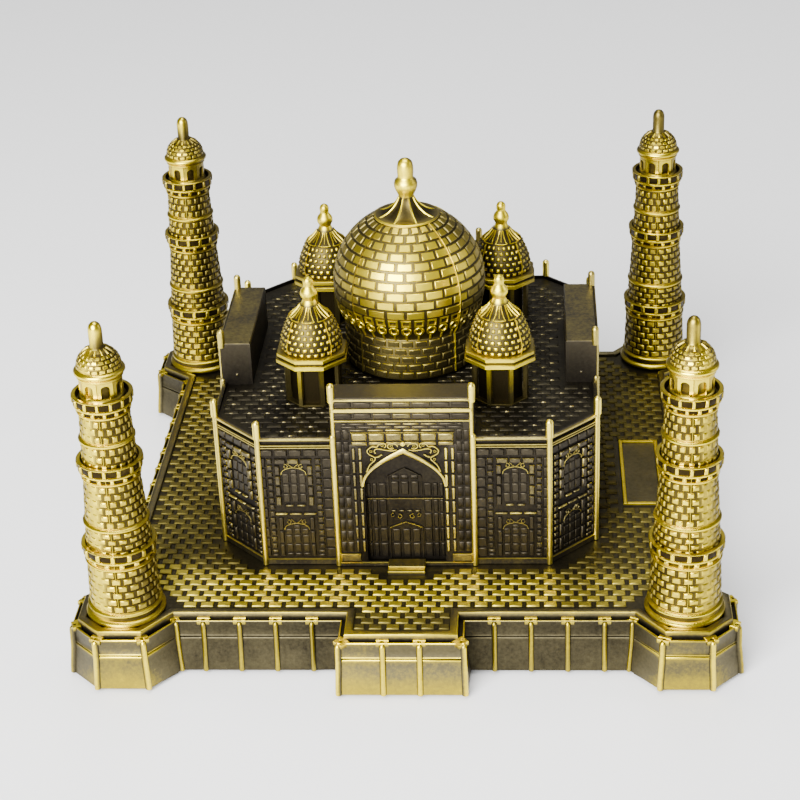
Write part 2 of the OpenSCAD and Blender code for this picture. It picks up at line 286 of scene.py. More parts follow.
class Relief:
    """Collects closed patches in millimetres, with a value at every point for the plating's rubbed brightness
    and for painted light and shade.
    """

    def __init__(self):
        self.points, self.wear, self.faces, self.count = [], [], [], 0

    def add(self, points, wear, *face_sets):
        points = np.asarray(points, float).reshape(-1, 3)
        self.points.append(points)
        self.wear.append(np.broadcast_to(np.asarray(wear, float).reshape(-1), (len(points),)))
        for faces in face_sets:
            self.faces.append(np.asarray(faces, np.int64) + self.count)
        self.count += len(points)

    def bricks(self, surface, cells, height, wear, bevel=0.2, sink=0.12, split=1, edge=0.75, face=1.0):
        """Rounded bricks on a surface. cells has one row (u0, u1, v0, v1) per brick.
        edge and face scale the wear on a brick's rounded edge and on its flat top."""
        cells = np.asarray(cells, float).reshape(-1, 4)
        if not len(cells):
            return
        total = len(cells)
        height = np.broadcast_to(np.asarray(height, float), (total,))
        wear = np.broadcast_to(np.asarray(wear, float), (total,))
        u0, u1, v0, v1 = cells.T
        scale = surface.mm_per_u((v0 + v1) / 2)
        reach = np.minimum(bevel, 0.45 * np.minimum(abs(u1 - u0) * scale, abs(v1 - v0)))
        inner = [0.0, 0.35, 1.0]
        level = [0.0, 0.68, 1.0]
        middle = [i / split for i in range(1, split)]

        def stations(low, high, step, extra):
            parts = [low + step * k for k in inner]
            parts += [low + step + (high - low - 2 * step) * m for m in extra]
            parts += [high - step * k for k in reversed(inner)]
            return np.stack(parts, axis=1)

        us = stations(u0, u1, reach / scale, middle)
        vs = stations(v0, v1, reach, [])
        lu = np.array(level + [1.0] * len(middle) + level[::-1])
        lv = np.array(level + level[::-1])
        share = np.minimum(lv[:, None], lu[None, :])
        h = share[None] * (height[:, None, None] + sink) - sink
        points = surface.at(us[:, None, :], vs[:, :, None], h)
        shade = wear[:, None, None] * np.interp(share, [0, 0.68, 1], [0.0, edge, face])[None]
        rows, columns = share.shape
        index = grid(rows, columns)
        quads = np.stack([index[:-1, :-1], index[:-1, 1:], index[1:, 1:], index[1:, :-1]], -1).reshape(-1, 4)
        rim = np.concatenate([index[0, :], index[1:, -1], index[-1, -2::-1], index[-2:0:-1, 0]])[::-1]
        base = (np.arange(total) * rows * columns)[:, None]
        self.add(points, shade.reshape(-1), (quads[None] + base[:, :, None]).reshape(-1, 4), rim[None] + base)

    def loft(self, surface, rings, level, height, shade, sink, closed, turn):
        """Bar through rings of points (u, v). level is the share of its height at each point of a ring."""
        h = level * (height + sink) - sink
        size = rings.shape[:2]
        points = surface.at(rings[..., 0], rings[..., 1], np.broadcast_to(h, size))
        index = grid(*size)
        if closed:
            sets = [skin(np.vstack([index, index[:1]]))]
        else:
            sets = [skin(index), index[:1, ::-1], index[-1:]]
        self.add(points, np.broadcast_to(shade, size).reshape(-1), *[faces[:, ::turn] for faces in sets])

    def ribbon(self, surface, path, width, height, wear, sink=0.12, closed=False):
        """Rounded bar that follows points (u, v) on a surface. Its width is in millimetres."""
        path = np.asarray(path, float)
        if closed:
            run = np.roll(path, -1, axis=0) - np.roll(path, 1, axis=0)
        else:
            run = np.vstack([path[1:], path[-1:]]) - np.vstack([path[:1], path[:-1]])
        scale = surface.mm_per_u(path[:, 1])
        run[:, 0] *= scale
        run /= np.linalg.norm(run, axis=1)[:, None] + 1e-9
        side = np.stack([-run[:, 1] / scale, run[:, 0]], axis=1)
        width = np.broadcast_to(np.asarray(width, float), (len(path),))
        across = [-0.5, -0.36, -0.14, 0.14, 0.36, 0.5]
        level = np.array([0.0, 0.65, 1.0, 1.0, 0.65, 0.0])
        rings = np.stack([path + side * (a * width)[:, None] for a in across], axis=1)
        shade = np.interp(level, [0, 0.65, 1], [0, 0.8, 1]) * wear
        self.loft(surface, rings, level, height, shade, sink, closed, -1)

    def band(self, surface, inner, outer, height, wear, closed=False, bevel=0.18, soft=0.72):
        """Raised plate between two lines of matched points (u, v), with rounded edges."""
        inner, outer = np.asarray(inner, float), np.asarray(outer, float)
        level = np.array([0, soft, 1, 1, soft, 0])
        shares = (0, 0, bevel, 1 - bevel, 1, 1)
        rings = np.stack([inner + (outer - inner) * share for share in shares], axis=1)
        shade = np.interp(level, [0, soft, 1], [0, 0.9, 1]) * wear
        self.loft(surface, rings, level, height, shade, 0.12, closed, 1)

    def turned(self, centre, profile, wear, segments=96, lobes=0, scoop=0.0, sweep=None, rubbed=None):
        """Solid of revolution. The profile runs from the axis below to the axis above.
        scoop hollows the surface between that many lobes, by so much at each profile point.
        sweep(angle) scales the values round the axis as painted light and shade, brightest toward the lit
        side.
        rubbed(angle) is the share worn right down, except where the wear is 0."""
        profile = np.asarray(profile, float)
        wear = np.broadcast_to(np.asarray(wear, float), (len(profile),))
        scoop = np.broadcast_to(np.asarray(scoop, float), (len(profile),))
        angles = np.arange(segments) * TAU / segments
        body = profile[1:-1]
        r, z = body[:, 0][:, None], body[:, 1][:, None]
        hollow = np.abs(np.cos(lobes * angles / 2))[None] ** 0.8 * np.sign(scoop[1:-1])[:, None]
        r = r - hollow * scoop[1:-1][:, None]
        ring = np.stack([centre[0] + r * np.cos(angles), centre[1] + r * np.sin(angles),
                         centre[2] + z + 0 * angles], axis=-1)
        index = grid(len(body), segments)
        on = np.roll(index, -1, axis=1)
        low, high = index.size, index.size + 1
        poles = [[centre[0], centre[1], centre[2] + profile[i, 1]] for i in (0, -1)]
        fans = np.vstack([np.stack([on[0], index[0], np.full(segments, low)], -1),
                          np.stack([index[-1], on[-1], np.full(segments, high)], -1)])
        points = np.vstack([ring.reshape(-1, 3), poles])
        shade = (wear[1:-1][:, None] * (1 - 0.9 * hollow ** 0.5)) + 0 * angles
        if sweep:
            shade = shade * np.array([sweep(a) for a in angles])
        if rubbed:
            share = np.array([rubbed(a) for a in angles])
            shade = np.where(shade > 0, np.maximum(shade, share * 0.85), shade)
        self.add(points, np.concatenate([shade.reshape(-1), wear[[0, -1]]]), skin(index), fans)

    def stacked(self, rows, shade):
        """Solid through rows of points, each row a loop, with flat ends."""
        rows = np.asarray(rows, float)
        index = grid(*rows.shape[:2])
        self.add(rows, shade, skin(index), index[:1, ::-1], index[-1:])

    def prism(self, outline, z0, z1, wear_low, wear_high, bevel=0.0, wear_top=None):
        """Upright prism with an optional chamfer round the top. The outline is anticlockwise."""
        outline = np.asarray(outline, float)
        levels = [(outline, z0, wear_low), (outline, z1 - bevel, wear_high)]
        if bevel:
            levels.append((inset(outline, bevel), z1, wear_high if wear_top is None else wear_top))
        rows = [np.column_stack([loop, np.full(len(loop), z)]) for loop, z, _ in levels]
        self.stacked(rows, np.concatenate([np.full(len(outline), w) for _, _, w in levels]))

    def quarter_turn(self, quarter):
        """Turns everything collected about the dome's axis by that many right angles."""
        c, s = right_angle(quarter)
        spin = np.array([[c, s, 0], [-s, c, 0], [0, 0, 1]], float)
        self.points = [p @ spin for p in self.points]

    def join(self, other):
        """Takes in everything that another relief has collected."""
        self.points += other.points
        self.wear += other.wear
        self.faces += [faces + self.count for faces in other.faces]
        self.count += other.count

    def build(self, name, material, replaced=()):
        """One smooth shaded object from everything collected, riding on the part's one body."""
        points = np.vstack(self.points) * MM
        wear = np.concatenate(self.wear)
        mesh = bpy.data.meshes.new(name)
        loops = np.concatenate([f.reshape(-1) for f in self.faces])
        sizes = np.concatenate([np.full(len(f), f.shape[1]) for f in self.faces])
        starts = np.concatenate([[0], np.cumsum(sizes)[:-1]])
        mesh.vertices.add(len(points))
        mesh.vertices.foreach_set("co", points.astype(np.float32).reshape(-1))
        mesh.loops.add(len(loops))
        mesh.loops.foreach_set("vertex_index", loops.astype(np.int32))
        mesh.polygons.add(len(sizes))
        mesh.polygons.foreach_set("loop_start", starts.astype(np.int32))
        mesh.polygons.foreach_set("loop_total", sizes.astype(np.int32))
        mesh.polygons.foreach_set("use_smooth", np.ones(len(sizes), bool))
        mesh.update(calc_edges=True)
        mesh.validate()
        mesh.set_sharp_from_angle(angle=CREASE)
        # This attribute carries painted light and shade besides the rubbed plating.
        layer = mesh.attributes.new("wear", "FLOAT", "POINT")
        layer.data.foreach_set("value", wear.astype(np.float32))
        made = bpy.data.objects.new(name, mesh)
        bpy.context.scene.collection.objects.link(made)
        mesh.materials.append(material)
        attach(made, "root")
        if replaced:
            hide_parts(*replaced)


def inset(outline, distance):
    """The outline with every side moved inwards. The outline is anticlockwise."""
    before = outline - np.roll(outline, 1, axis=0)
    after = np.roll(outline, -1, axis=0) - outline
    normals = []
    for run in (before, after):
        run = run / np.linalg.norm(run, axis=1)[:, None]
        normals.append(np.stack([-run[:, 1], run[:, 0]], axis=1))
    total = normals[0] + normals[1]
    return outline + total * (distance / (1 + (normals[0] * normals[1]).sum(1)))[:, None]


def oblong(x0, x1, y0, y1):
    return [(x0, y0), (x1, y0), (x1, y1), (x0, y1)]


def cut_square(half, cut, centre=(0, 0)):
    """Square with its corners cut off, anticlockwise."""
    e = half - cut
    loop = [(half, -e), (half, e), (e, half), (-e, half), (-half, e), (-half, -e), (-e, -half), (e, -half)]
    return np.array(loop, float) + np.array(centre, float)


def course(low, high, pitch, gap, phase):
    """Bricks of one course between low and high, with the joints on a fixed rhythm."""
    first = math.floor((low - phase) / pitch)
    last = math.ceil((high - phase) / pitch)
    spans = []
    for i in range(first, last):
        a = max(phase + i * pitch + gap / 2, low)
        b = min(phase + (i + 1) * pitch - gap / 2, high)
        if b - a > 0.22 * pitch:
            spans.append((a, b))
    return spans


def curve(points, steps):
    """Smooth curve through a few points, by Catmull-Rom spans."""
    p = np.asarray(points, float)
    p = np.vstack([2 * p[0] - p[1], p, 2 * p[-1] - p[-2]])
    out = []
    for i in range(1, len(p) - 2):
        for k in range(steps):
            t = k / steps
            out.append(0.5 * (2 * p[i] + (p[i + 1] - p[i - 1]) * t
                              + (2 * p[i - 1] - 5 * p[i] + 4 * p[i + 1] - p[i + 2]) * t ** 2
                              + (3 * p[i] - p[i - 1] - 3 * p[i + 1] + p[i + 2]) * t ** 3))
    out.append(p[-2])
    return np.array(out)


# ---- camera, floor and light ------------------------------------------------

def set_camera():
    """Camera at the photograph's viewing angle, slightly rolled, with a long lens."""
    turn, lift, roll = math.radians(4.15), math.radians(27.61), math.radians(-2.33)
    distance, aside, above = 8.221, 0.054, 0.281
    unit = TOWER_AT * MM
    back = Vector((math.sin(turn) * math.cos(lift), -math.cos(turn) * math.cos(lift), math.sin(lift)))
    right = Vector((math.cos(turn), math.sin(turn), 0))
    up = back.cross(right)
    place = (back * distance - right * aside + up * above) * unit + Vector((0, 0, DECK * MM))
    right_rolled = right * math.cos(roll) + up * math.sin(roll)
    up_rolled = up * math.cos(roll) - right * math.sin(roll)
    data = bpy.data.cameras.new("photo_camera")
    data.sensor_width = 36
    data.lens = 92.2
    camera = bpy.data.objects.new("photo_camera", data)
    camera.matrix_world = Matrix.Translation(place) @ Matrix(
        (right_rolled, up_rolled, back)).transposed().to_4x4()
    bpy.context.scene.collection.objects.link(camera)
    bpy.context.scene.camera = camera


def area_light(name, place, target, size, power):
    data = bpy.data.lights.new(name, "AREA")
    data.shape = "DISK"
    data.size = size
    data.energy = power
    light = bpy.data.objects.new(name, data)
    light.location = place
    light.rotation_euler = (Vector(target) - Vector(place)).to_track_quat("-Z", "Y").to_euler()
    bpy.context.scene.collection.objects.link(light)


def set_stage():
    """Pale floor, soft key from the front left, weaker fills and a pale surround."""
    mesh = bpy.data.meshes.new("floor")
    reach = 3.0
    mesh.from_pydata([(x, y, 0) for x, y in oblong(-reach, reach, -reach, reach)], [], [(0, 1, 2, 3)])
    floor = bpy.data.objects.new("floor", mesh)
    bpy.context.scene.collection.objects.link(floor)
    paper = bpy.data.materials.new("pale_paper")
    paper.use_nodes = True
    shader = paper.node_tree.nodes["Principled BSDF"]
    shader.inputs["Base Color"].default_value = (0.9, 0.9, 0.9, 1)
    shader.inputs["Roughness"].default_value = 0.8
    mesh.materials.append(paper)

    world = bpy.data.worlds.new("studio")
    bpy.context.scene.world = world
    world.use_nodes = True
    background = world.node_tree.nodes["Background"]
    background.inputs["Color"].default_value = (1, 1, 1, 1)
    background.inputs["Strength"].default_value = 0.22

    middle = (0, 0, 0.03)
    area_light("key", (-0.28, -0.72, 0.44), middle, 0.7, 34)
    area_light("overhead", (0.0, 0.04, 0.8), middle, 0.42, 5)
    area_light("backdrop", (0.0, 1.2, 1.5), (0, 1.5, 0), 0.5, 9)
    area_light("right_fill", (0.8, 0.1, 0.35), middle, 0.4, 2)

set_camera()
set_stage()

# ---- terrace ----------------------------------------------------------------

WALL_OUT = 57.9
WALL_FOOT = PAD_TOP
BASTION_OUT = BASTION - 0.25
BASTION_EDGE = 4.75
FORE_OUT = FORE_HALF - 0.4
FORE_FACE = FORE_FRONT - 0.9
RIB_PITCH = 7.1
RIM_IN = 2.75
RIM_OUT = 1.2
BRICK_TOP = 0.12
BED_DROP = 0.28

# Wall section from the foot up over the ledge and the rim: outwards, height, wear
WALL_SECTION = [
    (1.15, WALL_FOOT, 0.62), (1.0, 2.4, 0.6), (0.6, 4.6, 0.46), (0.22, 6.4, 0.42), (0.12, 7.3, 0.5),
    (0.1, 7.62, 1.0), (0.02, 7.76, 1.0), (-0.2, 7.86, 0.05), (-0.2, 8.0, 0.05), (0.04, 8.1, 1.0),
    (0.08, 8.24, 0.9), (-0.02, 8.42, 0.42), (-0.06, 9.8, 0.36), (-0.02, 11.1, 0.4), (0.04, 11.42, 0.85),
    (-0.04, 11.56, 0.95), (-0.26, 11.56, 0.9), (-0.32, 11.4, 0.3), (-0.34, 10.85, 0.0), (-1.16, 10.85, 0.0),
    (-1.2, 11.5, 0.1), (-1.2, 12.62, 0.8), (-1.3, 12.76, 0.85), (-1.45, 12.8, 0.56), (-2.6, 12.8, 0.5),
    (-2.74, 12.7, 0.6), (-2.78, DECK - BED_DROP, 0.1),
]


def side_stations(front):
    """Points along one terrace side, from its left bastion to its right one, facing -Y."""
    a, b, e = TOWER_AT, BASTION_OUT, BASTION_EDGE
    far = a + b
    points = [(-(a + e), -far, "corner"), (-(a - e), -far, "corner"), (-(a - b), -WALL_OUT, "inner")]
    ribs = [(i + 0.5) * RIB_PITCH for i in range(-6, 6)]
    for x in ribs:
        if front and abs(x) < FORE_OUT + 2:
            continue
        if front and x > 0 and points[-1][0] < 0:
            points += [(-FORE_OUT, -WALL_OUT, "plain"), (-FORE_OUT, -FORE_FACE, "fore"),
                       (-RIB_PITCH / 2, -FORE_FACE, "fore"), (RIB_PITCH / 2, -FORE_FACE, "fore"),
                       (FORE_OUT, -FORE_FACE, "fore"), (FORE_OUT, -WALL_OUT, "plain")]
        points.append((x, -WALL_OUT, "rib"))
    points += [(a - b, -WALL_OUT, "inner"), (a - e, -far, "corner"), (a + e, -far, "corner")]
    return points


def terrace_stations():
    """The whole outline, anticlockwise, as places and kinds."""
    places, kinds = [], []
    for quarter in range(4):
        c, s = right_angle(quarter)
        for x, y, kind in side_stations(quarter == 0):
            places.append((x * c - y * s, x * s + y * c))
            kinds.append(kind)
    return np.array(places, float), kinds


def wall_tone(y, kind):
    """Front faces of the bastions and the forecourt are painted bright as lit, the bastions' other faces get
    painted shade, and the long walls stay dark.
    """
    if kind in ("corner", "fore"):
        return 1.0 if y < -TOWER_AT - BASTION_EDGE else 0.45
    return 0.2 if kind == "plain" else 0.24


FLARE = {"corner": 0.62, "fore": 1.45, "plain": 0.9}
RIB_SECTION = [(-0.6, -0.3), (-0.56, 0.12), (-0.32, 0.46), (0.0, 0.6), (0.32, 0.46), (0.56, 0.12),
               (0.6, -0.3)]
RIB_WEAR = [0.1, 0.45, 0.95, 1.05, 0.95, 0.45, 0.1]
# Height, share of the wall's flare and size of a rib's section
RIB_LEVELS = [(WALL_FOOT, 1.1, 1.0), (2.4, 0.95, 1.0), (4.6, 0.55, 1.0),
              (7.0, 0.15, 1.0), (10.6, 0.0, 1.0), (11.05, -0.05, 0.92), (11.3, -0.15, 0.6)]


def terrace_body():
    relief = Relief()
    outline, kinds = terrace_stations()
    normal = outline - inset(outline, 1.0)
    flare = np.array([FLARE.get(kind, 1.0) for kind in kinds])
    tone = np.array([wall_tone(y, kind) for (_, y), kind in zip(outline, kinds)])
    rows, shades = [], []
    sideways = np.array([[0.1 if kind == "fore" else 1.0, 1.0] for kind in kinds])
    for out, z, wear in WALL_SECTION:
        reach = normal * (out * flare)[:, None] * sideways if 0.15 < out else normal * out
        rows.append(np.column_stack([outline + reach, np.full(len(kinds), z)]))
        shades.append(wear * (tone if z < 11.45 else np.maximum(tone, 0.7)))
    relief.stacked(rows, np.concatenate(shades))

    for i, kind in enumerate(kinds):
        if kind == "plain":
            continue
        stretch = np.linalg.norm(normal[i])
        out = normal[i] / stretch
        along = np.array([-out[1], out[0]])
        wide = 1.1 if kind in ("corner", "fore") else 1.0
        lean = normal[i] * flare[i] * sideways[i]
        add_rib(relief, outline[i], out, along, lean, wide, max(tone[i] * 0.92, 0.66))
        add_bridge(relief, outline[i], out, along, stretch, 1.0 if kind != "inner" else 0.7)
    relief.build("terrace_body", wall_metal, ["base_plinth"])


def add_rib(relief, foot, out, along, lean, wide, tone):
    """Half round rib that follows the wall's flare and ends in a small rounded top."""
    rows = [[(*(foot + lean * reach + (out * o + along * (t * wide)) * size), z) for t, o in RIB_SECTION]
            for z, reach, size in RIB_LEVELS]
    relief.stacked(rows, np.tile(RIB_WEAR, len(RIB_LEVELS)) * tone)


def block(relief, centre, out, along, reach, width, z0, z1, wear, bevel=0.1):
    """Small oriented block: reach is its span outwards and width its span along the wall."""
    corners = [(width[0], reach[0]), (width[1], reach[0]), (width[1], reach[1]), (width[0], reach[1])]
    loop = np.array([centre + along * t + out * o for t, o in corners])
    area = sum(loop[i - 1][0] * loop[i][1] - loop[i][0] * loop[i - 1][1] for i in range(4))
    if area < 0:
        loop = loop[::-1]
    relief.prism(loop, z0, z1, wear * 0.4, wear, bevel)


def add_bridge(relief, foot, out, along, stretch, size):
    """T shaped bridge across the ledge at a rib, with a small pit behind the rib's top."""
    top = 11.62
    back = (-RIM_OUT * stretch - 0.3, -0.72 * stretch)
    block(relief, foot, out, along, back, (-1.25 * size, 1.25 * size), 10.7, top + 0.12, 1.1)
    for side in (-1, 1):
        span = sorted((side * 0.36 * size, side * 1.2 * size))
        block(relief, foot, out, along, (-0.8 * stretch, 0.02), span, 10.7, top, 1.0, 0.08)


def nearest(a, b):
    """How near a span from a to b comes to zero."""
    return 0 if a * b <= 0 else min(abs(a), abs(b))


def clear_of_hall(x0, x1, y0, y1, room):
    """True where a brick stays off the mausoleum's foot."""
    x, y = nearest(x0, x1), nearest(y0, y1)
    half = HALL + room
    return x > half or y > half or x + y > 2 * half - HALL_CUT


def clamp(value):
    return max(0.0, min(1.0, value))


def deck_tone(x, y):
    """Deck brightness, partly traffic polish and partly painted light: bright across the front, darker on the
    right, with painted shade at the sides, along the mausoleum's walls and round the minarets.
    """
    if y < -56:
        return 0.62 - 0.3 * abs(x) / 9
    gap = max(abs(x), abs(y)) - HALL
    tower = math.hypot(abs(x) - TOWER_AT, abs(y) - TOWER_AT)
    front = clamp((-y - 34) / 12)
    side = (0.14 if x > 0 else 0.21) + 0.16 * clamp((gap - 3) / 10)
    # polish mixes traffic polish with painted light: the lit front against painted shade at the sides.
    polish = front * (0.86 if x < 30 else 0.6) + (1 - front) * side
    return polish * (0.5 + 0.5 * clamp(gap / 4.5)) * (0.6 + 0.4 * clamp((tower - 7.5) / 6.0))


def deck_bricks():
    relief = Relief()
    pitch_x, pitch_y, gap_x, gap_y = 3.37, 1.97, 0.78, 0.34
    inner = WALL_OUT - RIM_IN - 0.15
    cells, wears = [], []
    for row in range(-33, 29):
        y0, y1 = row * pitch_y + 1.0 + gap_y / 2, (row + 1) * pitch_y + 1.0 - gap_y / 2
        fore = y1 < -inner + 0.8
        half = FORE_OUT - RIM_IN - 0.1 if fore else inner
        if y1 > inner or y0 < -(FORE_FACE - RIM_IN - 0.2):
            continue
        for x0, x1 in course(-half, half, pitch_x, gap_x, (row % 2) * pitch_x / 2):
            middle = (x0 + x1) / 2
            tower = math.hypot(abs(middle) - TOWER_AT, abs((y0 + y1) / 2) - TOWER_AT)
            plate = 43.6 < x1 and x0 < 53.6 and -16.4 < y1 and y0 < 12.6
            step = abs(middle) < 5.2 and -42.6 < y1 < 0
            if tower < 9.6 or plate or step or not clear_of_hall(x0, x1, y0, y1, 0.5):
                continue
            cells.append((x0, x1, y0, y1))
            wears.append(deck_tone(middle, (y0 + y1) / 2) * rng.uniform(0.86, 1.1))
    deck = flat(DECK - BED_DROP)
    heights = [BED_DROP + BRICK_TOP + rng.uniform(-0.05, 0.05) for _ in cells]
    relief.bricks(deck, cells, heights, wears, bevel=0.2)
    relief.build("deck_bricks", deck_metal)


def deck_fittings():
    """Blank name plate in its frame, and the two shallow steps at the front door."""
    relief = Relief()
    x0, x1, y0, y1, line = 44.4, 53.0, -15.8, 12.0, 0.85
    low = DECK - BED_DROP
    for span in ((x0, x0 + line, y0, y1), (x1 - line, x1, y0, y1),
                 (x0 + line, x1 - line, y0, y0 + line), (x0 + line, x1 - line, y1 - line, y1)):
        relief.prism(oblong(*span), low, DECK + 0.5, 0.1, 0.75, 0.14)
    relief.prism(oblong(x0 + line, x1 - line, y0 + line, y1 - line), low, DECK + 0.08, 0.1, 0.2, 0.05)
    for reach, top in ((42.2, 0.45), (41.0, 0.9)):
        relief.prism(oblong(-3.7, 3.7, -reach, -38), low, DECK + top, 0.2, 0.8, 0.12, 0.5)
    relief.build("deck_fittings", wall_metal)


terrace_body()
deck_bricks()
deck_fittings()

# ---- shared round work ------------------------------------------------------

def bead(r, z, stand, half, steps=5):
    """Half round bead on a profile: radius r beside it, standing out by stand, from z - half to z + half."""
    return [(r + stand * math.sin(math.pi * i / steps), z - half * math.cos(math.pi * i / steps))
            for i in range(steps + 1)]


def ring_cells(surface, count, gap, v0, v1, shift=0):
    """One course of equal bricks round a turned surface. An odd shift moves it on by half a brick."""
    step = TAU / count
    trim = gap / 2 / float(surface.mm_per_u((v0 + v1) / 2))
    starts = [(i + shift % 2 / 2) * step for i in range(count)]
    return [(start + trim, start + step - trim, v0, v1) for start in starts]


def upright(u, low, high, steps):
    """Line of points up a turned surface at the angle u."""
    return [(u, v) for v in np.linspace(low, high, steps)]


def banded(profile, wear, dark, reach=0.22):
    """Keeps the long plain runs of a profile dark right up to the bright beads at their ends."""
    points, shades = [profile[0]], [wear[0]]
    for (r0, z0), (r1, z1), shade in zip(profile, profile[1:], wear[1:]):
        run = math.hypot(r1 - r0, z1 - z0)
        if run > 4 * reach:
            for t in (reach / run, 1 - reach / run):
                points.append((r0 + (r1 - r0) * t, z0 + (z1 - z0) * t))
                shades.append(dark)
        points.append((r1, z1))
        shades.append(shade)
    return points, shades


def glow(u, toward, low, high, wide=0.75):
    """Tone between low and high that falls off quickly to both sides of the angle toward. Round parts use it
    for a painted highlight on their lit side, with painted shade away from it; polish uses it for the spread
    of its rubbed patch.
    """
    off = math.atan2(math.sin(u - toward), math.cos(u - toward))
    return low + (high - low) * math.exp(-(off / wide) ** 2)


# Front or back and left or right corner, with the signs of x and y there
CORNERS = [("front_left", -1, -1), ("back_left", -1, 1), ("front_right", 1, -1), ("back_right", 1, 1)]


# ---- minarets ---------------------------------------------------------------

# Heights and radii
SHAFT = [(3.0, 6.75), (13.0, 6.35), (31.0, 5.2), (45.0, 4.55), (48.0, 4.4)]
BALCONIES = [(15.3, 7.42), (33.4, 6.52), (47.15, 5.95)]
MID_BEADS = (21.0, 38.8)
BALCONY_BAYS = 14
TOWER_BRICKS = 18
COURSE = 1.42
COURSE_SPANS = [(3.15, 12.3), (15.4, 20.5), (21.5, 30.4), (33.5, 38.3), (39.3, 44.1)]
LANTERN_BAYS = 8

# Radii and heights
CAP = [(4.15, 53.4), (4.1, 54.3), (3.75, 55.3), (3.05, 56.2), (2.1, 56.8), (1.5, 57.05)]
FINIAL = [(1.3, 57.4), (1.32, 60.6), (1.26, 61.2), (1.05, 61.8), (0.65, 62.22), (0.25, 62.38), (0, 62.4)]

# Heights of the bright beads, and of the dark slots under the balconies
BEADS = [(0.1, 1.28), (2.15, 2.95), (51.3, 53.32), (58.2, 62.5)] + [(z - 0.43, z + 0.43) for z in MID_BEADS]
BEADS += [(z + a, z + b) for z, _ in BALCONIES for a, b in ((-2.93, -2.31), (-1.49, -0.67), (0.72, 1.05))]
SLOTS = [(z + a, z + b) for z, _ in BALCONIES for a, b in ((-2.3, -1.49), (-0.67, 0.69))]


def shaft_r(z):
    return float(np.interp(z, *zip(*SHAFT)))


def balcony_profile(z, r):
    """Dark core of one balcony, from the slot ring up to the floor behind the parapet."""
    slot = bead(shaft_r(z - 2.8), z - 2.62, 0.55, 0.3) + [(r - 1.12, z - 2.28), (r - 1.0, z - 1.5)]
    parapet = [(-0.5, -0.66), (-0.36, 0), (-0.42, 0.68), (-0.2, 0.76), (-0.14, 0.9), (-0.3, 1.04),
               (-0.9, 1.0), (-1.05, -0.2)]
    return (slot + bead(r - 0.95, z - 1.08, 0.62, 0.4) + [(r + a, z + b) for a, b in parapet]
            + [(shaft_r(z), z - 0.2), (shaft_r(z), z + 0.4)])


def core_wear(r, z, sx):
    """Wear at one point of a minaret's core: bright beads, black slots and dark runs between them."""
    if z > 57.1 and sx > 0:
        return 0.42
    if r > shaft_r(z) and any(a <= z <= b for a, b in SLOTS):
        return 0.0
    if CAP[0][1] <= z <= 57.1:
        return 0.4
    return 0.98 if any(a <= z <= b for a, b in BEADS) else 0.12


def minaret_core(relief, centre, tone, sx, sy):
    profile = [(0, 0), (7.3, 0)] + bead(7.1, 0.66, 0.72, 0.6) + [(6.98, 1.34), (6.95, 2.1)]
    profile += bead(6.85, 2.5, 0.5, 0.34) + [(shaft_r(3.1), 2.9)]
    for z, r in sorted(BALCONIES + [(z, None) for z in MID_BEADS]):
        profile += balcony_profile(z, r) if r else bead(shaft_r(z), z, 0.62, 0.42)
    profile += [(4.1, 48.0), (3.55, 48.3), (3.55, 51.3)]
    profile += bead(3.9, 51.75, 0.5, 0.4) + bead(4.25, 52.75, 0.62, 0.55) + CAP
    wear = [core_wear(r, z, sx) * tone for r, z in profile]
    profile, wear = banded(profile, wear, 0.1 * tone)
    wear += [core_wear(r, z, sx) * tone for r, z in FINIAL]
    # The core's beads and runs take the tower's painted light and shade too.
    relief.turned(centre, profile + FINIAL, wear, segments=72, sweep=lambda u: tower_tone(u, sx),
                  rubbed=lambda u: polish(u, sx, sy))


def tower_courses():
    """Where brick courses stand on the shaft, as (z, height) pairs."""
    rows = []
    for low, high in COURSE_SPANS:
        count = round((high - low) / COURSE)
        step = (high - low) / count
        rows += [(low + i * step, step) for i in range(count)]
    return rows


def polish(u, sx, sy):
    """Share of a front minaret's outer side that handling has rubbed almost smooth."""
    if sy > 0:
        return 0.0
    outer = clamp(2.6 * sx * math.cos(u) - 0.2)
    return outer * glow(u, math.radians(-90 + 32 * sx), 0.3, 1.0, 0.5) * (1.0 if sx < 0 else 0.7)


def tower_tone(u, sx):
    """Painted light round a tower: brightest toward the front left, where the key light falls, with painted
    shade round the back.
    """
    return glow(u, math.radians(-112 if sx < 0 else -98), 0.5, 1.15, 0.9)


def lantern_arch():
    """Matched lines round one opening of the lantern: its arch, and the edge of its bay."""
    half, bay = 0.8 / 4.1, math.pi / LANTERN_BAYS
    low, spring, rise, top = 1.0, 2.0, 0.75, 3.35
    arc = [(half * math.cos(a), spring + rise * math.sin(a)) for a in np.linspace(math.pi, 0, 9)]
    inner = [(-half, 0), (-half, low), *arc, (half, low), (half, 0)]
    side = (0, low, spring + 0.2, top)
    outer = [(-bay, v) for v in side] + [(bay * a, top) for a in (-0.7, -0.4, 0, 0.4, 0.7)]
    outer += [(bay, v) for v in reversed(side)]
    return np.array(inner[::-1]), np.array(outer[::-1])


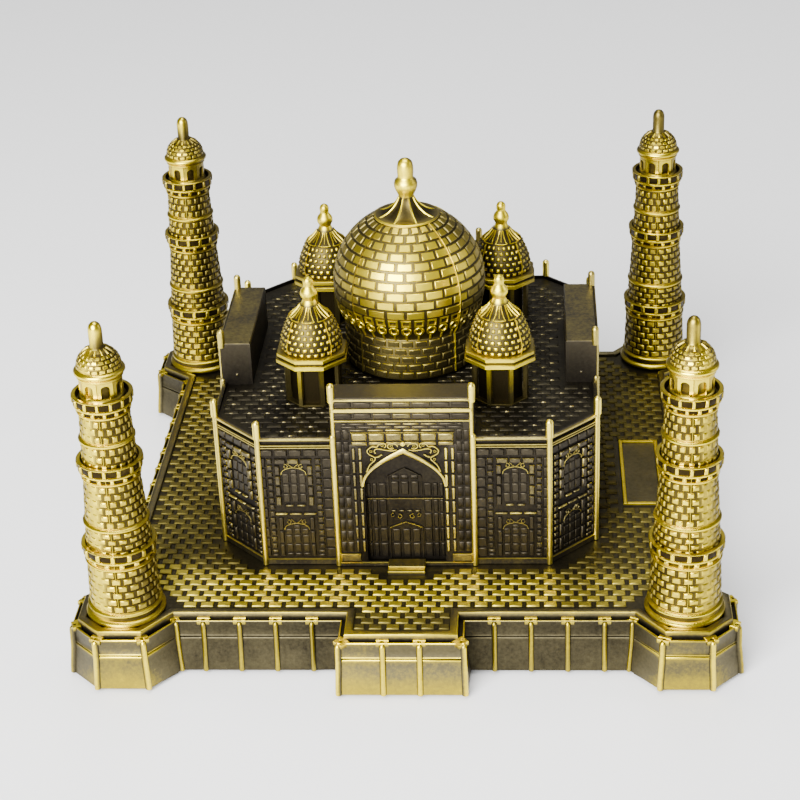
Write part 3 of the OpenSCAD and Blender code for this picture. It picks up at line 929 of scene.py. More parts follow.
def minaret(name, sx, sy):
    relief = Relief()
    centre = (sx * TOWER_AT, sy * TOWER_AT, DECK)
    # The back minarets are painted darker, as shaded copies of the front ones.
    tone = 1.0 if sy < 0 else 0.78
    minaret_core(relief, centre, tone, sx, sy)

    # Painted light and shade round this tower, for its bricks, posts, lantern and cap.
    def shade(u):
        return tower_tone(u, sx) * tone

    shaft = Turned(centre, [(r, z) for z, r in SHAFT])
    slope = math.hypot(1, (SHAFT[0][1] - SHAFT[-1][1]) / (SHAFT[-1][0] - SHAFT[0][0]))
    for row, (z, step) in enumerate(tower_courses()):
        v = (z - SHAFT[0][0]) * slope
        cells = ring_cells(shaft, TOWER_BRICKS, 0.56, v + 0.14, v + step - 0.16, row)
        middles = [(a + b) / 2 for a, b, _, _ in cells]
        wear = [0.9 * shade(u) * rng.uniform(0.8, 1.1) for u in middles]
        stand = [0.3 - 0.2 * polish(u, sx, sy) for u in middles]
        relief.bricks(shaft, cells, stand, wear, bevel=0.24, split=2, edge=0.95, face=0.88)

    for z, r in BALCONIES:
        wall = Turned(centre, [(r - 0.5, z - 0.7), (r - 0.38, z), (r - 0.44, z + 0.75)])
        posts = ring_cells(wall, BALCONY_BAYS, 0.3 * r, 0.0, wall.length)
        shades = [shade(u) for u, _, _, _ in posts]
        relief.bricks(wall, posts, 0.34, shades, bevel=0.18)
        slots = Turned(centre, [(r - 1.12, z - 2.32), (r - 1.0, z - 1.46)])
        posts = ring_cells(slots, BALCONY_BAYS, 1.7 * r / 7, 0.0, slots.length, 1)
        relief.bricks(slots, posts, 0.42, shades, bevel=0.16)

    lantern = Turned(centre, [(3.55, 48.1), (3.55, 51.5)])
    inner, outer = lantern_arch()
    for i in range(LANTERN_BAYS):
        middle = (i + 0.5) * TAU / LANTERN_BAYS
        relief.band(lantern, inner + (middle, 0), outer + (middle, 0), 0.55, 0.95 * shade(middle), bevel=0.08)

    cap = Turned(centre, CAP)
    for row in range(4):
        v = 0.1 + row * 0.86
        cells = ring_cells(cap, TOWER_BRICKS, 0.28, v, v + 0.7, row)
        stand = [0.18 - 0.12 * polish(u, sx, sy) for u, _, _, _ in cells]
        relief.bricks(cap, cells, stand, [0.9 * shade(u) for u, _, _, _ in cells], bevel=0.14)
    for i in range(12):
        u = i * TAU / 12
        line = upright(u, 3.45, cap.length - 0.05, 5)
        relief.ribbon(cap, line, np.linspace(0.75, 0.3, 5), 0.28, 0.95 * shade(u))
    for u in (-math.pi / 2, math.pi / 2):
        relief.ribbon(shaft, upright(u, 0.2, (45.0 - SHAFT[0][0]) * slope, 40), 0.16, 0.34, 0.9 * tone)
    relief.build(name + "_body", tower_metal, [name])


for corner, sx, sy in CORNERS:
    minaret("minaret_" + corner, sx, sy)

# ---- main dome --------------------------------------------------------------

DOME_R = (dome_high[0] - dome_low[0]) / 2
DOME_Z = 45.8
DRUM_R = 13.55
DRUM_FOOT = 29.0
BED = 0.3
BAND_LOW, BAND_HIGH = -30.0, -8.9
RIM_ANGLE = 64.9
COURSES, COURSE_BRICKS = 10, 24
# Painted highlight by course: the dome's middle courses are brightest, the top and bottom ones darker.
COURSE_TONES = (0.8, 1.0, 1.15, 1.25, 1.25, 1.2, 1.06, 0.94, 0.84, 0.76)
PETAL_CAP = [(6.6, 60.15), (5.4, 60.55), (4.2, 61.1), (3.2, 61.85), (2.4, 62.75), (1.85, 63.6), (1.6, 64.2)]
DOME_FINIAL = [(1.64, 64.7), (2.05, 65.5), (2.38, 66.4), (2.42, 67.1), (2.2, 67.8), (1.74, 68.2), (1.6, 68.6),
               (1.66, 69.3), (1.68, 70.2), (1.62, 71.0), (1.42, 71.7), (0.95, 72.2), (0.4, 72.37), (0, 72.4)]


def sphere_run(low, high, steps=24):
    """Profile of the dome's bed between two angles of height, in degrees."""
    r = DOME_R - BED
    return [(r * math.cos(a), DOME_Z + r * math.sin(a)) for a in np.radians(np.linspace(low, high, steps))]


def square(u, v, half_u, half_v):
    unit = [(-1, -1), (0, -1), (1, -1), (1, 0), (1, 1), (0, 1), (-1, 1), (-1, 0)]
    return [(u + a * half_u, v + b * half_v) for a, b in unit]


def circle(u, v, r, steps, scale=1.0):
    """Loop of radius r in millimetres. scale is the number of millimetres per unit of u."""
    return [(u + r * math.cos(t) / scale, v + r * math.sin(t)) for t in np.arange(steps) * TAU / steps]


def main_dome():
    relief = Relief()
    centre = (0, 0, DECK)
    # Direction of the painted highlight round the dome, toward the front left.
    facing = math.radians(-100)
    drum_foot = (DRUM_R, DRUM_FOOT)
    run = sphere_run(BAND_LOW, RIM_ANGLE)
    profile = [(0, DRUM_FOOT), drum_foot, (DRUM_R, 37.9)] + run + bead(6.5, 60.25, 0.28, 0.22)
    cap_from = len(profile)
    profile += [(6.25, 60.4)] + PETAL_CAP[1:]
    cap_to = len(profile)
    profile += DOME_FINIAL
    wear = np.full(len(profile), 0.14)
    # Painted light: the joints over the upper dome are lighter where the highlight falls; the joints below
    # the equator and on the drum stay darker.
    wear[3 + len(run) // 3:cap_from - 6] = 0.26
    wear[cap_from - 6:cap_from] = 1.0
    wear[cap_from:cap_to] = 0.5
    wear[cap_to:] = 0.98
    scoop = np.zeros(len(profile))
    scoop[cap_from + 1:cap_to] = np.interp(range(len(PETAL_CAP) - 1), [0, 1, 5], [0.55, 0.6, 0.12])
    relief.turned(centre, profile, wear, segments=160, lobes=8, scoop=scoop,
                  sweep=lambda u: glow(u, facing, 0.4, 1.25, 0.9))

    cap = Turned(centre, PETAL_CAP)
    for i in range(8):
        line = upright((i + 0.5) * TAU / 8, 0.0, cap.length, 9)
        relief.ribbon(cap, line, np.linspace(0.8, 0.4, 9), 0.1, 1.0, sink=0.3)

    dome = Turned(centre, sphere_run(BAND_HIGH, RIM_ANGLE))
    pitch = dome.length / COURSES
    for row, high in enumerate(COURSE_TONES):
        cells = ring_cells(dome, COURSE_BRICKS, 0.46, row * pitch + 0.17, (row + 1) * pitch - 0.17, row)
        low = 0.46 if row > 1 else 0.36
        # Each dome brick is painted brighter toward the front as the highlight, and darker round the sides.
        wears = [glow((a + b) / 2, math.radians(-87), low, high, 0.76) * rng.uniform(0.93, 1.04)
                 for a, b, _, _ in cells]
        relief.bricks(dome, cells, BED, wears, split=3)

    band = Turned(centre, sphere_run(BAND_LOW, BAND_HIGH))
    top = band.length
    dart = 0.3 / DOME_R
    for i in range(36):
        u = i * TAU / 36
        # The band's squares and rings take the same painted highlight, darker round the sides.
        tone = glow(u, facing, 0.3, 1.1, 0.9)
        inner, outer = [square(u, top - 0.95, a / DOME_R, b) for a, b in ((0.64, 0.44), (1.04, 0.84))]
        relief.band(band, inner, outer, 0.34, tone, closed=True)
        inner, outer = [circle(u, top - 2.95, r, 14, DOME_R) for r in (0.56, 1.16)]
        relief.band(band, inner, outer, 0.38, tone, closed=True)
        relief.bricks(band, [(u - dart, u + dart, top - 5.75, top - 3.85)], 0.34, tone, bevel=0.14)

    drum = Turned(centre, [drum_foot, (DRUM_R, 38.2)])
    for row in range(5):
        v = 0.25 + row * 1.77
        cells = ring_cells(drum, 30, 0.42, v, v + 1.42, row)
        # Drum bricks: painted highlight at the front, painted shade round the sides.
        wears = [glow(u, facing, 0.22, 0.7, 0.8) for u, _, _, _ in cells]
        relief.bricks(drum, cells, 0.3, wears, bevel=0.24, split=2, edge=1.05, face=0.42)

    seam = Turned(centre, [drum_foot, (DRUM_R, 37.8)] + run)
    for angle, wear in ((-46, 0.95), (-134, 0.5), (45, 0.8), (135, 0.8)):
        line = upright(math.radians(angle), 0.2, seam.length - 0.1, 60)
        relief.ribbon(seam, line, 0.3, BED + 0.16, wear)
    relief.build("main_dome_body", dome_metal, ["main_dome"])


main_dome()


# ---- kiosks -----------------------------------------------------------------

BULB = [(5.8, 39.6), (6.0, 40.6), (6.0, 41.6), (5.72, 42.8), (5.25, 44.1), (4.7, 45.35), (4.25, 46.4)]
BULB_COURSES = 6
PETALS = [(4.25, 46.4), (3.4, 47.1), (2.5, 47.9), (1.8, 48.8), (1.4, 49.7)]
PETAL_EDGE = [(0.27, 0.25), (0.2646, 0.7), (0.2295, 1.6), (0.2025, 2.6), (0.162, 3.6)]
KIOSK_FOOT = DECK + 28.4
KIOSK_FINIAL = [(1.25, 50.1), (1.4, 50.5), (1.68, 51.0), (1.72, 51.6), (1.5, 52.2), (1.1, 52.7), (0.92, 53.1),
                (1.0, 53.6), (1.0, 54.1), (0.8, 54.6), (0.42, 54.9), (0, 54.97)]
# Half width, foot, top and wear of the mouldings under the bulb
EAVES = ((7.05, 37.45, 38.3, 1.0), (6.55, 38.2, 38.9, 0.1), (6.85, 38.85, 39.6, 0.95))


def octagon(half, centre):
    return cut_square(half, half * (1 - math.tan(math.pi / 8)), centre)


def kiosk(name, sx, sy):
    relief = Relief()
    at = np.array([sx * KIOSK_AT, sy * KIOSK_AT])
    centre = (*at, DECK)
    # Direction of the painted highlight round each kiosk.
    facing = math.radians(-95)
    # The kiosks are painted as lit and shaded copies: front right brightest, front left a little darker, back
    # ones darker still.
    tone = (1.0 if sx > 0 else 0.92) if sy < 0 else 0.8
    # The core inside the columns gets a finish darker than the darkest patina: painted shade for the kiosk's
    # shaded inside.
    relief.prism(octagon(4.35, at), KIOSK_FOOT, DECK + 37.6, -0.1, -0.1)
    relief.prism(octagon(5.6, at), KIOSK_FOOT, KIOSK_FOOT + 0.5, 0.02, 0.15, 0.1)
    relief.prism(octagon(6.1, at), DECK + 36.9, DECK + 37.6, 0.05, 0.3)
    for half, z0, z1, wear in EAVES:
        loop = octagon(half, at)
        # Eaves painted brighter toward the front as highlight, darker round the back.
        shade = np.array([glow(math.atan2(y, x), facing, 0.5, 1.1, 0.9) for x, y in loop - at]) * wear * tone
        relief.prism(loop, DECK + z0, DECK + z1, shade, shade, 0.16, shade * 0.75)
    for i in range(8):
        u = (i + 0.5) * TAU / 8
        out, along = np.array([math.cos(u), math.sin(u)]), np.array([-math.sin(u), math.cos(u)])
        # Columns: painted highlight at the front, painted shade round the back.
        shade = glow(u, facing, 0.2, 0.95, 0.7) * tone
        block(relief, at, out, along, (5.15, 5.95), (-0.42, 0.42), KIOSK_FOOT, DECK + 37.5, shade, 0.05)

    profile = [(0, 39.5), (5.5, 39.5)] + [(r - 0.12, z) for r, z in BULB] + PETALS[1:] + KIOSK_FINIAL
    wear = np.full(len(profile), 0.14 * tone)
    bed = 2 + len(BULB)
    wear[bed:] = 0.06
    wear[bed + len(PETALS) - 2:] = 0.97 * tone
    relief.turned(centre, profile, wear, segments=64)

    bulb = Turned(centre, BULB)
    pitch = bulb.length / BULB_COURSES
    for row in range(BULB_COURSES):
        cells = ring_cells(bulb, 26, 0.5, row * pitch + 0.2, (row + 1) * pitch - 0.18, row)
        # Bulb bricks: painted highlight toward the front, darker round the sides.
        wears = [glow(u, facing, 0.55, 1.3, 0.9) * tone * rng.uniform(0.85, 1.1) for u, _, _, _ in cells]
        relief.bricks(bulb, cells, 0.3, wears, bevel=0.34, edge=0.85)

    petals = Turned(centre, PETALS)
    for i in range(8):
        u = i * TAU / 8 + math.pi / 2
        line = [(u - a, v) for a, v in reversed(PETAL_EDGE)] + [(u + a, v) for a, v in PETAL_EDGE]
        # Petals: painted highlight toward the front.
        shade = (0.7 + 0.35 * (0.5 + 0.5 * math.cos(u - facing)) ** 1.3) * tone
        relief.ribbon(petals, curve(line, 4), 0.32, 0.3, shade)
        relief.ribbon(petals, upright(u, 0.9, 3.6, 6), 0.24, 0.16, shade * 0.8)
    whole = Turned(centre, BULB + PETALS[1:])
    for angle in (-45, -135, 45, 135):
        relief.ribbon(whole, upright(math.radians(angle), 0.1, bulb.length, 24), 0.2, 0.4, 0.9 * tone)
    relief.build(name + "_body", dome_metal, [name])


for corner, sx, sy in CORNERS:
    kiosk("kiosk_" + corner, sx, sy)

# ---- mausoleum walls --------------------------------------------------------

WALL_BED = HALL - 0.45
WALL_TOP = 29.0
BAY_W = HALL_FACE - PORTAL_HALF
WINDOW = (2.9, 10.6)
NOTCH = 4.6
# Painted light by quarter (front, right, back, left): the front face and front chamfers brightest as lit, the
# other faces given painted shade, the left less than the right and back.
SIDE_TONE = (1.0, 0.75, 0.75, 0.85)
CORNER_TONE = (0.95, 0.75, 0.75, 1.0)


def flip(line, width, mirror):
    """Points as they are, or flipped end for end across the panel."""
    return [(width - u, v) if mirror else (u, v) for u, v in line]


def flip_cells(cells, width, mirror):
    return [(width - b, width - a, c, d) if mirror else (a, b, c, d) for a, b, c, d in cells]


def shared(low, high, count, gap):
    """Ends of equal bricks between low and high."""
    step = (high - low) / count
    return [(low + i * step + gap / 2, low + (i + 1) * step - gap / 2) for i in range(count)]


def stack(u0, u1, low, high, pitch, gap):
    """Column of bricks one above the other."""
    return [(u0, u1, a, b) for a, b in shared(low, high, round((high - low) / pitch), gap)]


def row_of(u0, u1, low, high, count, gap):
    """Row of bricks side by side."""
    return [(a, b, low, high) for a, b in shared(u0, u1, count, gap)]


def pointed(u, half, spring, apex, steps=7):
    """Flat pointed arch as a line of points, from its left springing to its right one."""
    left = [(u - half * math.cos(a) ** 1.25, spring + (apex - spring) * math.sin(a) ** 0.8)
            for a in np.linspace(0, math.pi / 2, steps)]
    return left + [(2 * u - x, v) for x, v in reversed(left[:-1])]


def curl(u, v, size, turn, steps=14):
    """Small spiral scroll: turn is 1 or -1."""
    return [(u + turn * size * (1 - 0.62 * t) * math.cos(TAU * 0.95 * t + 1.2),
             v + size * (1 - 0.62 * t) * math.sin(TAU * 0.95 * t + 1.2)) for t in np.linspace(0, 1, steps)]


def window(relief, wall, width, mirror, bars, spring, apex, tone):
    """Lattice of raised panes under a pointed head, with a small scroll on each side above it."""
    a, b = WINDOW[0] + 1.35, WINDOW[1] - 1.35
    middle, third = (a + b) / 2, (b - a) / 3
    edges = bars + [spring + 0.15]
    panes = [(a + i * third + 0.16, a + (i + 1) * third - 0.16, v0 + 0.14, v1 - 0.1)
             for i in range(3) for v0, v1 in zip(edges, edges[1:])]
    panes.append((a + third + 0.16, a + 2 * third - 0.16, spring + 0.1, spring + (apex - spring) * 0.62))
    relief.bricks(wall, flip_cells(panes, width, mirror), 0.2, 0.32 * tone, bevel=0.16, edge=1.2, face=0.7)
    head = flip(pointed(middle, (b - a) / 2, spring, apex), width, mirror)
    relief.ribbon(wall, head[::-1] if mirror else head, 0.3, 0.34, 0.75 * tone)
    for side in (-1, 1):
        scroll = curl(middle + side * 1.55, apex + 0.25, 0.55, side)
        relief.ribbon(wall, flip(scroll, width, mirror), 0.26, 0.32, 0.7 * tone)
        twig = [(middle + side * u, apex + v) for u, v in ((0.2, 0.1), (0.65, 0.45), (1.1, 0.9))]
        relief.ribbon(wall, flip(twig, width, mirror), 0.24, 0.3, 0.7 * tone)


def wall_panel(relief, wall, width, mirror, tone):
    """One storeyed bay: cornice, two windows in brick frames, and columns of small bricks beside them."""
    a, b = WINDOW

    def bar(low, high, height, wear, bevel, split):
        relief.bricks(wall, [(0, width, low, high)], height, wear * tone, bevel, split=split)

    def bricks(cells, height, wear, edge=0.75, face=1.0):
        wears = [wear * tone * rng.uniform(0.6, 0.95) for _ in cells]
        relief.bricks(wall, flip_cells(cells, width, mirror), height, wears, edge=edge, face=face)

    bar(28.25, WALL_TOP, 0.75, 0.7, 0.2, 6)
    bar(27.05, 27.5, 0.62, 0.7, 0.14, 6)
    bar(26.55, 26.98, 0.62, 0.7, 0.14, 6)
    bricks(row_of(0.1, width - 0.1, 24.75, 26.2, 5, 0.3), 0.42, 0.42, 1.3, 0.7)

    bricks(row_of(a, b, 23.1, 24.2, 3, 0.26), 0.62, 0.66, 1.2, 0.8)
    for u0, u1 in ((a + 0.05, a + 1.15), (b - 1.15, b - 0.05)):
        bricks(stack(u0, u1, 13.4, 22.8, 2.3, 0.34), 0.6, 0.62, 1.15, 0.8)
    bricks(row_of(a + 1.6, b - 1.6, 13.3, 13.8, 2, 0.5), 0.5, 0.85)
    window(relief, wall, width, mirror, [14.1, 16.2, 18.4], 20.6, 22.2, tone)

    bricks(row_of(a - 0.5, b + 0.4, 11.35, 11.9, 3, 0.3), 0.55, 0.85)
    for u0, u1 in ((a + 0.2, a + 1.2), (b - 1.2, b - 0.2)):
        bricks(stack(u0, u1, 1.5, 10.9, 3.1, 0.34), 0.45, 0.36, 1.4, 0.7)
    window(relief, wall, width, mirror, [1.5, 2.4, 4.5, 6.6], 7.9, 9.4, tone * 0.8)

    bricks(stack(0.2, 1.25, 1.4, 24.4, 2.3, 0.3), 0.36, 0.32, 1.3, 0.7)
    bricks(stack(1.5, 2.6, 3.4, 24.4, 1.54, 0.42), 0.5, 0.62, 1.2, 0.62)
    bricks(stack(b + 0.5, b + 1.65, 3.4, 24.4, 1.54, 0.42), 0.5, 0.6, 1.25, 0.55)
    bricks(stack(b + 1.9, width - 0.1, 1.4, 24.4, 2.3, 0.3), 0.36, 0.3, 1.3, 0.7)
    for low in (1.5, 2.45):
        bricks([(1.5, 2.7, low, low + 0.7), (b + 0.3, b + 1.6, low, low + 0.7)], 0.42, 0.5, 1.2, 0.7)
    bar(0.95, 1.25, 0.62, 0.85, 0.12, 4)
    bar(-0.2, 0.98, 0.5, 0.42, 0.1, 2)


def post(relief, x, y, z0, z1, r, wear):
    """Upright with a rounded top."""
    top = [(r * math.cos(a), z1 - r + r * math.sin(a)) for a in (0.0, 0.4, 0.8, 1.2)]
    relief.turned((x, y, DECK), [(0, z0), (r, z0), *top, (0, z1)], wear, segments=20)


def hall_outline():
    """Wall bed in plan, notched on each side where a portal stands."""
    face, notch, deep = WALL_BED - HALL_CUT + 0.2, PORTAL_HALF - 0.15, WALL_BED - NOTCH
    side = [(-face, -WALL_BED), (-notch, -WALL_BED), (-notch, -deep), (notch, -deep), (notch, -WALL_BED),
            (face, -WALL_BED)]
    turns = [right_angle(quarter) for quarter in range(4)]
    return np.array([(x * c - y * s, x * s + y * c) for c, s in turns for x, y in side])


def hall_walls():
    hall = Relief()
    hall.prism(hall_outline(), DECK - 0.1, DECK + 28.3, 0.05, 0.08)
    out = np.array([1, -1, 0]) / math.sqrt(2)
    start = np.array([HALL_FACE, -HALL, DECK]) - out * (HALL - WALL_BED)
    corner = Plane(start, np.array([1, 1, 0]) / math.sqrt(2), (0, 0, 1), out)
    for quarter in range(4):
        side = Relief()
        for mirror, x in ((True, PORTAL_HALF), (False, -HALL_FACE)):
            wall_panel(side, facade(x, -WALL_BED), BAY_W, mirror, SIDE_TONE[quarter])
        wall_panel(side, corner, HALL_CUT * math.sqrt(2), False, CORNER_TONE[quarter])
        for x in (-HALL_FACE, HALL_FACE):
            post(side, x, -HALL + 0.05, -0.1, 29.4, 0.56, 0.88)
            post(side, x, -HALL, 28.9, 32.8, POST_R, 1.0)
        side.quarter_turn(quarter)
        hall.join(side)
    hall.build("hall_walls", hall_metal, ["wall_shell"])


ROOF_BED = DECK + 28.45
ROOF_PITCH = (3.7, 1.95)


def on_roof(x0, x1, y0, y1):
    """True where a brick lies on the roof, clear of its edge, the portals and the dome."""
    x, y = max(abs(x0), abs(x1)), max(abs(y0), abs(y1))
    portal = (min(abs(x0), abs(x1)) < PORTAL_HALF and y > HALL - 6.3) \
        or (min(abs(y0), abs(y1)) < PORTAL_HALF and x > HALL - 6.3)
    edge = y > HALL - 1.1 or x + y > 2 * HALL - HALL_CUT - 1.6
    return not (edge or portal or math.hypot((x0 + x1) / 2, (y0 + y1) / 2) < DRUM_R)


def roof():
    relief = Relief()
    relief.prism(cut_square(HALL - 0.75, HALL_CUT - 0.3), ROOF_BED - 0.45, ROOF_BED, 0.0, 0.04)
    pitch_x, pitch_y = ROOF_PITCH
    cells, lips = [], []
    for row in range(-20, 20):
        y0, y1 = row * pitch_y + 0.2, (row + 1) * pitch_y - 0.2
        for x0, x1 in course(-HALL + 1.2, HALL - 1.2, pitch_x, 0.8, (row % 2) * pitch_x / 2):
            if not on_roof(x0, x1, y0, y1):
                continue
            cells.append((x0, x1, y0, y1))
            middle = (x0 + x1) / 2
            # Thin bright lips on the front edges of most roof bricks: painted glints where light catches
            # those edges.
            if rng.random() < 0.72:
                lips.append((middle - 0.45, middle + 0.42, y0 - 0.04, y0 + 0.16))
    relief.bricks(flat(ROOF_BED), cells, 0.2, [rng.uniform(0.03, 0.16) for _ in cells])
    relief.bricks(flat(ROOF_BED), lips, 0.23, [rng.uniform(0.25, 0.8) for _ in lips], bevel=0.08)
    relief.build("roof_deck", roof_metal, ["roof_plate"])


# ---- portals ----------------------------------------------------------------

NICHE_DEEP = 2.0
ARCH_HALF = 7.85
ARCH_SPRING = 18.4
ARCH_APEX = 25.6
LINTEL = 27.6
PORTAL_CORE = PORTAL_HALF - 0.1
# Painted light by quarter (front, right, back, left): the front portal brightest as lit, the others given
# painted shade.
PORTAL_TONE = (1.0, 0.72, 0.72, 0.8)

# Strokes of the vine in the upper right corner of the arch, and its buds
VINE = [
    [(0.95, 27.3), (1.3, 27.75), (1.9, 28.0), (2.6, 27.9), (2.95, 27.45), (2.75, 26.95), (2.2, 26.75),
     (1.75, 26.95)],
    [(1.2, 26.55), (2.1, 26.35), (3.4, 26.5), (4.5, 26.75), (5.3, 26.7), (5.6, 26.3), (5.4, 25.8)],
    [(3.6, 27.0), (3.3, 27.45), (3.5, 27.9), (4.1, 28.0), (4.7, 27.7), (5.1, 27.2), (5.9, 27.3), (6.5, 27.0)],
    [(6.5, 27.0), (7.0, 26.4), (6.8, 25.7), (6.1, 25.2), (5.5, 24.8), (5.6, 24.2), (6.1, 23.8)],
    [(5.9, 23.9), (6.6, 23.2), (7.0, 22.4), (7.3, 21.6)],
    [(4.1, 25.5), (4.9, 25.0), (5.4, 24.9)],
]
BUDS = ((2.2, 27.35), (4.0, 27.5), (6.3, 26.2), (6.2, 24.4))


def keel(half, spring, apex):
    """Four centred arch: a quick curve off the springing, then nearly straight up to the apex."""
    shape = ((1, 0), (0.985, 0.11), (0.91, 0.3), (0.72, 0.53), (0.4, 0.77), (0, 1))
    side = curve([(-half * u, spring + (apex - spring) * v) for u, v in shape], 4)
    return [tuple(p) for p in side] + [(-u, v) for u, v in side[-2::-1]]


def on_jambs(half, line):
    """Points over an arch from left to right, carried down to the deck at both ends."""
    return [(-half, -0.1), (-half, ARCH_SPRING / 2), *line, (half, ARCH_SPRING / 2), (half, -0.1)]


def portal_body(relief, top_wear):
    """Block with an arched niche, smooth on its top and its ends. Gives the back of the niche."""
    back = PORTAL_FRONT + PORTAL_DEPTH
    niche = PORTAL_FRONT + NICHE_DEEP
    half, top = PORTAL_CORE, LINTEL + 0.05
    relief.prism(oblong(-half, half, niche, back), DECK - 0.1, DECK + LINTEL + 0.1, 0.05, 0.06)
    block_plan = oblong(-half, half, PORTAL_FRONT, back)
    relief.prism(block_plan, DECK + LINTEL, PORTAL_TOP, 0.02, 0.34, 0.22, top_wear)
    wall = facade(0, niche)
    arch = keel(ARCH_HALF, ARCH_SPRING, ARCH_APEX)
    share = np.linspace(0, 1, len(arch))
    edge = zip(np.interp(share, [0.25, 0.75], [-half, half]),
               np.interp(share, [0, 0.25, 0.75, 1], [ARCH_SPRING, top, top, ARCH_SPRING]))
    inner, outer = on_jambs(ARCH_HALF, arch), on_jambs(half, edge)
    relief.band(wall, inner[::-1], outer[::-1], NICHE_DEEP, 0.07, bevel=0.02, soft=0.96)
    return wall


def niche_work(relief, back, tone):
    """Back of the niche: tall dim panels, a gabled window above and a gabled door below."""
    dim = dict(bevel=0.22, edge=1.3, face=0.7)
    for low, high in ((0.6, 3.9), (4.2, 7.4), (7.7, 10.9), (11.2, 14.0), (14.8, 17.8)):
        for side in (-1, 1):
            for a, b in ((3.7, 5.3), (5.55, 6.6), (6.85, 7.7)):
                u0, u1 = sorted((side * a, side * b))
                relief.bricks(back, [(u0, u1, low, high)], 0.3, rng.uniform(0.1, 0.18) * tone, **dim)
    for low, high in ((0.6, 3.9), (4.2, 7.2), (15.2, 18.2)):
        relief.bricks(back, row_of(-3.0, 3.0, low, high, 3, 0.4), 0.3, 0.2 * tone, **dim)
    relief.bricks(back, row_of(-2.9, 2.9, 18.6, 19.6, 3, 0.4), 0.25, 0.14 * tone, **dim)
    for spring, apex, wear in ((7.6, 8.9, 0.62), (19.4, 21.3, 0.3)):
        slope = (spring + apex) / 2 + 0.1
        gable = [(-3.3, spring), (-1.6, slope), (0, apex), (1.6, slope), (3.3, spring)]
        relief.ribbon(back, gable, 0.28, 0.42, wear * tone)
    for side in (-1, 1):
        for heights, wear in (((0.4, 4.0, 7.6), 0.34), ((14.8, 17.0, 19.4), 0.3)):
            relief.ribbon(back, [(side * 3.3, v) for v in heights], 0.26, 0.36, wear * tone)
        relief.ribbon(back, curl(side * 1.3, 10.2, 0.6, side), 0.26, 0.4, 0.62 * tone)
        relief.ribbon(back, curl(side * 2.6, 10.5, 0.5, -side), 0.24, 0.4, 0.55 * tone)
    relief.bricks(back, [(-7.7, 7.7, 14.2, 14.6)], 0.5, 0.5 * tone, bevel=0.14, split=4)
    relief.bricks(back, row_of(-3.2, 3.2, 11.3, 11.7, 4, 0.4), 0.4, 0.5 * tone)


def spandrel_vine(relief, face, side, tone):
    """Scrolling vine in one upper corner of the arch."""
    for stroke in VINE:
        relief.ribbon(face, [(side * u, v) for u, v in curve(stroke, 4)], 0.42, 0.4, 0.85 * tone)
    for u, v in BUDS:
        relief.ribbon(face, circle(side * u, v, 0.24, 8), 0.2, 0.36, 0.8 * tone, closed=True)


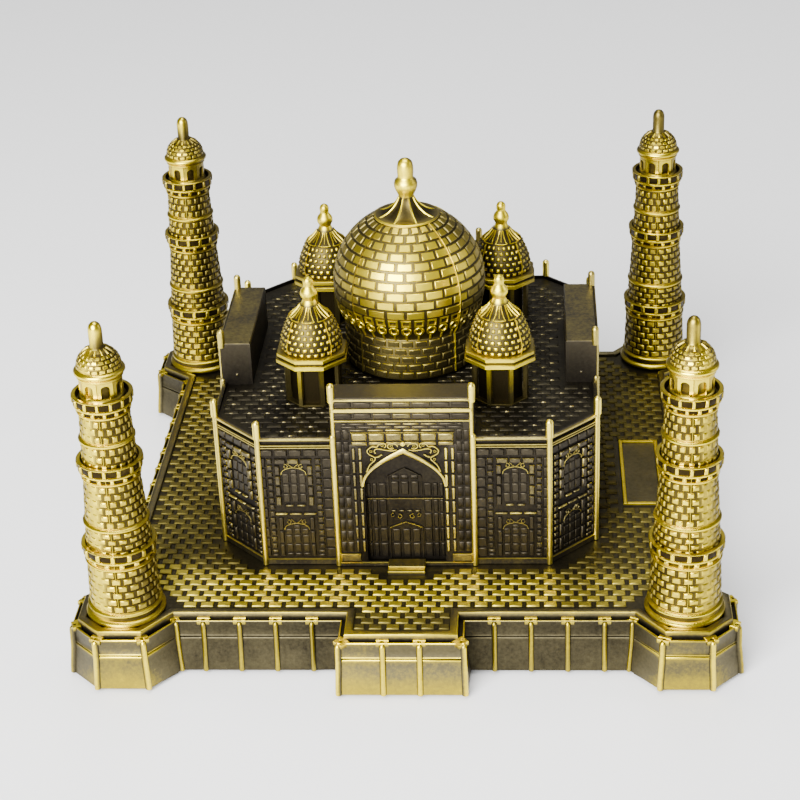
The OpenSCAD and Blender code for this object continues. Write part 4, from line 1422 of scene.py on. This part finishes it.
def portal_face(relief, face, tone):
    """Everything that stands on the portal's front: bars, brickwork, archivolt, vines and feet."""
    half = PORTAL_HALF

    def bar(reach, low, high, height, wear, bevel, split=1):
        relief.bricks(face, [(-reach, reach, low, high)], height, wear * tone, bevel, split=split)

    bar(half - 0.5, 37.15, 37.7, 0.42, 0.9, 0.22, 8)
    bar(half - 0.3, 34.75, 35.75, 0.5, 0.92, 0.22, 8)
    bar(half - 0.3, 32.65, 33.2, 0.42, 0.85, 0.22, 8)
    for low, high in ((36.0, 36.95), (33.45, 34.5)):
        cells = row_of(-13.4, 13.4, low, high, 7, 0.3)
        wears = [tone * (0.6 - abs(a + b) / 60) for a, b, _, _ in cells]
        relief.bricks(face, cells, 0.26, wears, edge=1.2, face=0.75)
    for low, high, phase, wear in ((31.95, 32.4, 0, 0.6), (31.2, 31.75, 1, 0.5), (30.55, 31.0, 0, 0.7)):
        cells = [(a, b, low, high) for a, b in course(-11.9, 11.9, 3.5, 0.35, 1.75 * phase)]
        wears = [wear * tone * (1.1 - abs(a + b) / 36) for a, b, _, _ in cells]
        relief.bricks(face, cells, 0.26, wears, edge=1.2, face=0.75)
    cells = row_of(-10.2, 10.2, 28.5, 30.1, 6, 0.36)
    relief.bricks(face, cells, 0.34, 0.62 * tone, bevel=0.26, edge=1.35, face=0.82)
    bar(10.2, 30.2, 30.42, 0.3, 0.8, 0.1)
    relief.bricks(face, row_of(-10.2, 10.2, 27.45, 28.25, 6, 0.36), 0.32, 0.62 * tone, edge=1.3, face=0.85)
    for side in (-1, 1):
        for a, b, wear in ((9.35, 10.15, 0.8), (8.05, 8.85, 0.95)):
            u0, u1 = sorted((side * a, side * b))
            shade = wear * (0.95 if side > 0 else 0.66) * tone
            cells = stack(u0, u1, 2.9, 27.1, 3.05, 0.3)
            relief.bricks(face, cells, 0.4, [shade * (0.72 + 0.28 * c[2] / 24) for c in cells], bevel=0.26)
        for a, b in ((10.5, 11.7), (11.95, 13.1)):
            u0, u1 = sorted((side * a, side * b))
            cells = stack(u0, u1, 2.9, 31.0, 2.6, 0.3)
            wears = [rng.uniform(0.1, 0.26) * tone for _ in cells]
            relief.bricks(face, cells, 0.2, wears, edge=1.4, face=0.75)
        u0, u1 = sorted((side * 9.2, side * 13.2))
        relief.bricks(face, [(u0, u1, 0.9, 2.55)], 0.5, 0.6 * tone, bevel=0.16, edge=1.5, face=0.8)
        relief.bricks(face, [(u0, u1, 2.5, 2.75)], 0.62, 0.95 * tone, bevel=0.1)
        spandrel_vine(relief, face, side, tone)
    inner = keel(ARCH_HALF, ARCH_SPRING, ARCH_APEX)[::-1]
    outer = keel(ARCH_HALF + 0.7, ARCH_SPRING - 0.3, ARCH_APEX + 1.2)[::-1]
    relief.band(face, inner, outer, 0.42, 0.8 * tone, bevel=0.22)
    relief.ribbon(face, circle(0, 27.85, 0.36, 12), 0.5, 0.45, 0.95 * tone, closed=True)
    bar(0.4, 27.45, 28.25, 0.5, 0.95, 0.3)
    bar(half, 0.42, 0.72, 0.5, 0.95, 0.12, 4)
    bar(half, -0.2, 0.45, 0.4, 0.4, 0.1)


def portal(name, quarter):
    relief = Relief()
    tone = PORTAL_TONE[quarter]
    # The side portals' tops are painted lighter: a painted reflection on top of the plating's own tone.
    back = portal_body(relief, 0.46 if quarter % 2 else 0.33)
    niche_work(relief, back, tone)
    portal_face(relief, facade(0, PORTAL_FRONT), tone)
    for side in (-1, 1):
        x = side * (PORTAL_HALF - POST_R + 0.35)
        post(relief, x, PORTAL_FRONT + 0.05, -0.1, 29.9, 0.62, 0.92 * tone)
        post(relief, x - side * 0.2, PORTAL_FRONT + 0.05, 29.0, 38.0, 0.42, 0.92 * tone)
        post(relief, x - side * 0.1, PORTAL_FRONT + 0.35, 36.9, 40.9, POST_R, tone)
        place = (side * PORTAL_CORE, PORTAL_FRONT + PORTAL_DEPTH / 2, DECK)
        end = Plane(place, (0, side, 0), (0, 0, 1), (side, 0, 0))
        relief.bricks(end, [(-0.35, 0.35, 30.4, 31.1)], 0.22, 0.6 * tone, bevel=0.26)
    relief.quarter_turn(quarter)
    relief.build(name + "_body", hall_metal, [name])


hall_walls()
roof()
for quarter, side_name in enumerate(("front", "right", "back", "left")):
    portal("portal_" + side_name, quarter)

# ---- hidden CAD pieces that keep their own shape ----------------------------

def refinish(names, material):
    for name in names:
        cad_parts[name].data.materials.clear()
        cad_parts[name].data.materials.append(material)


refinish(("minaret_screws", "body_screws", "portal_screws", "dome_screws", "kiosk_screws"),
         finish("zinc_plated_steel", 1.0, zinc_plating))
refinish(("base_pad",), finish("black_foam", 0.0, open_foam))
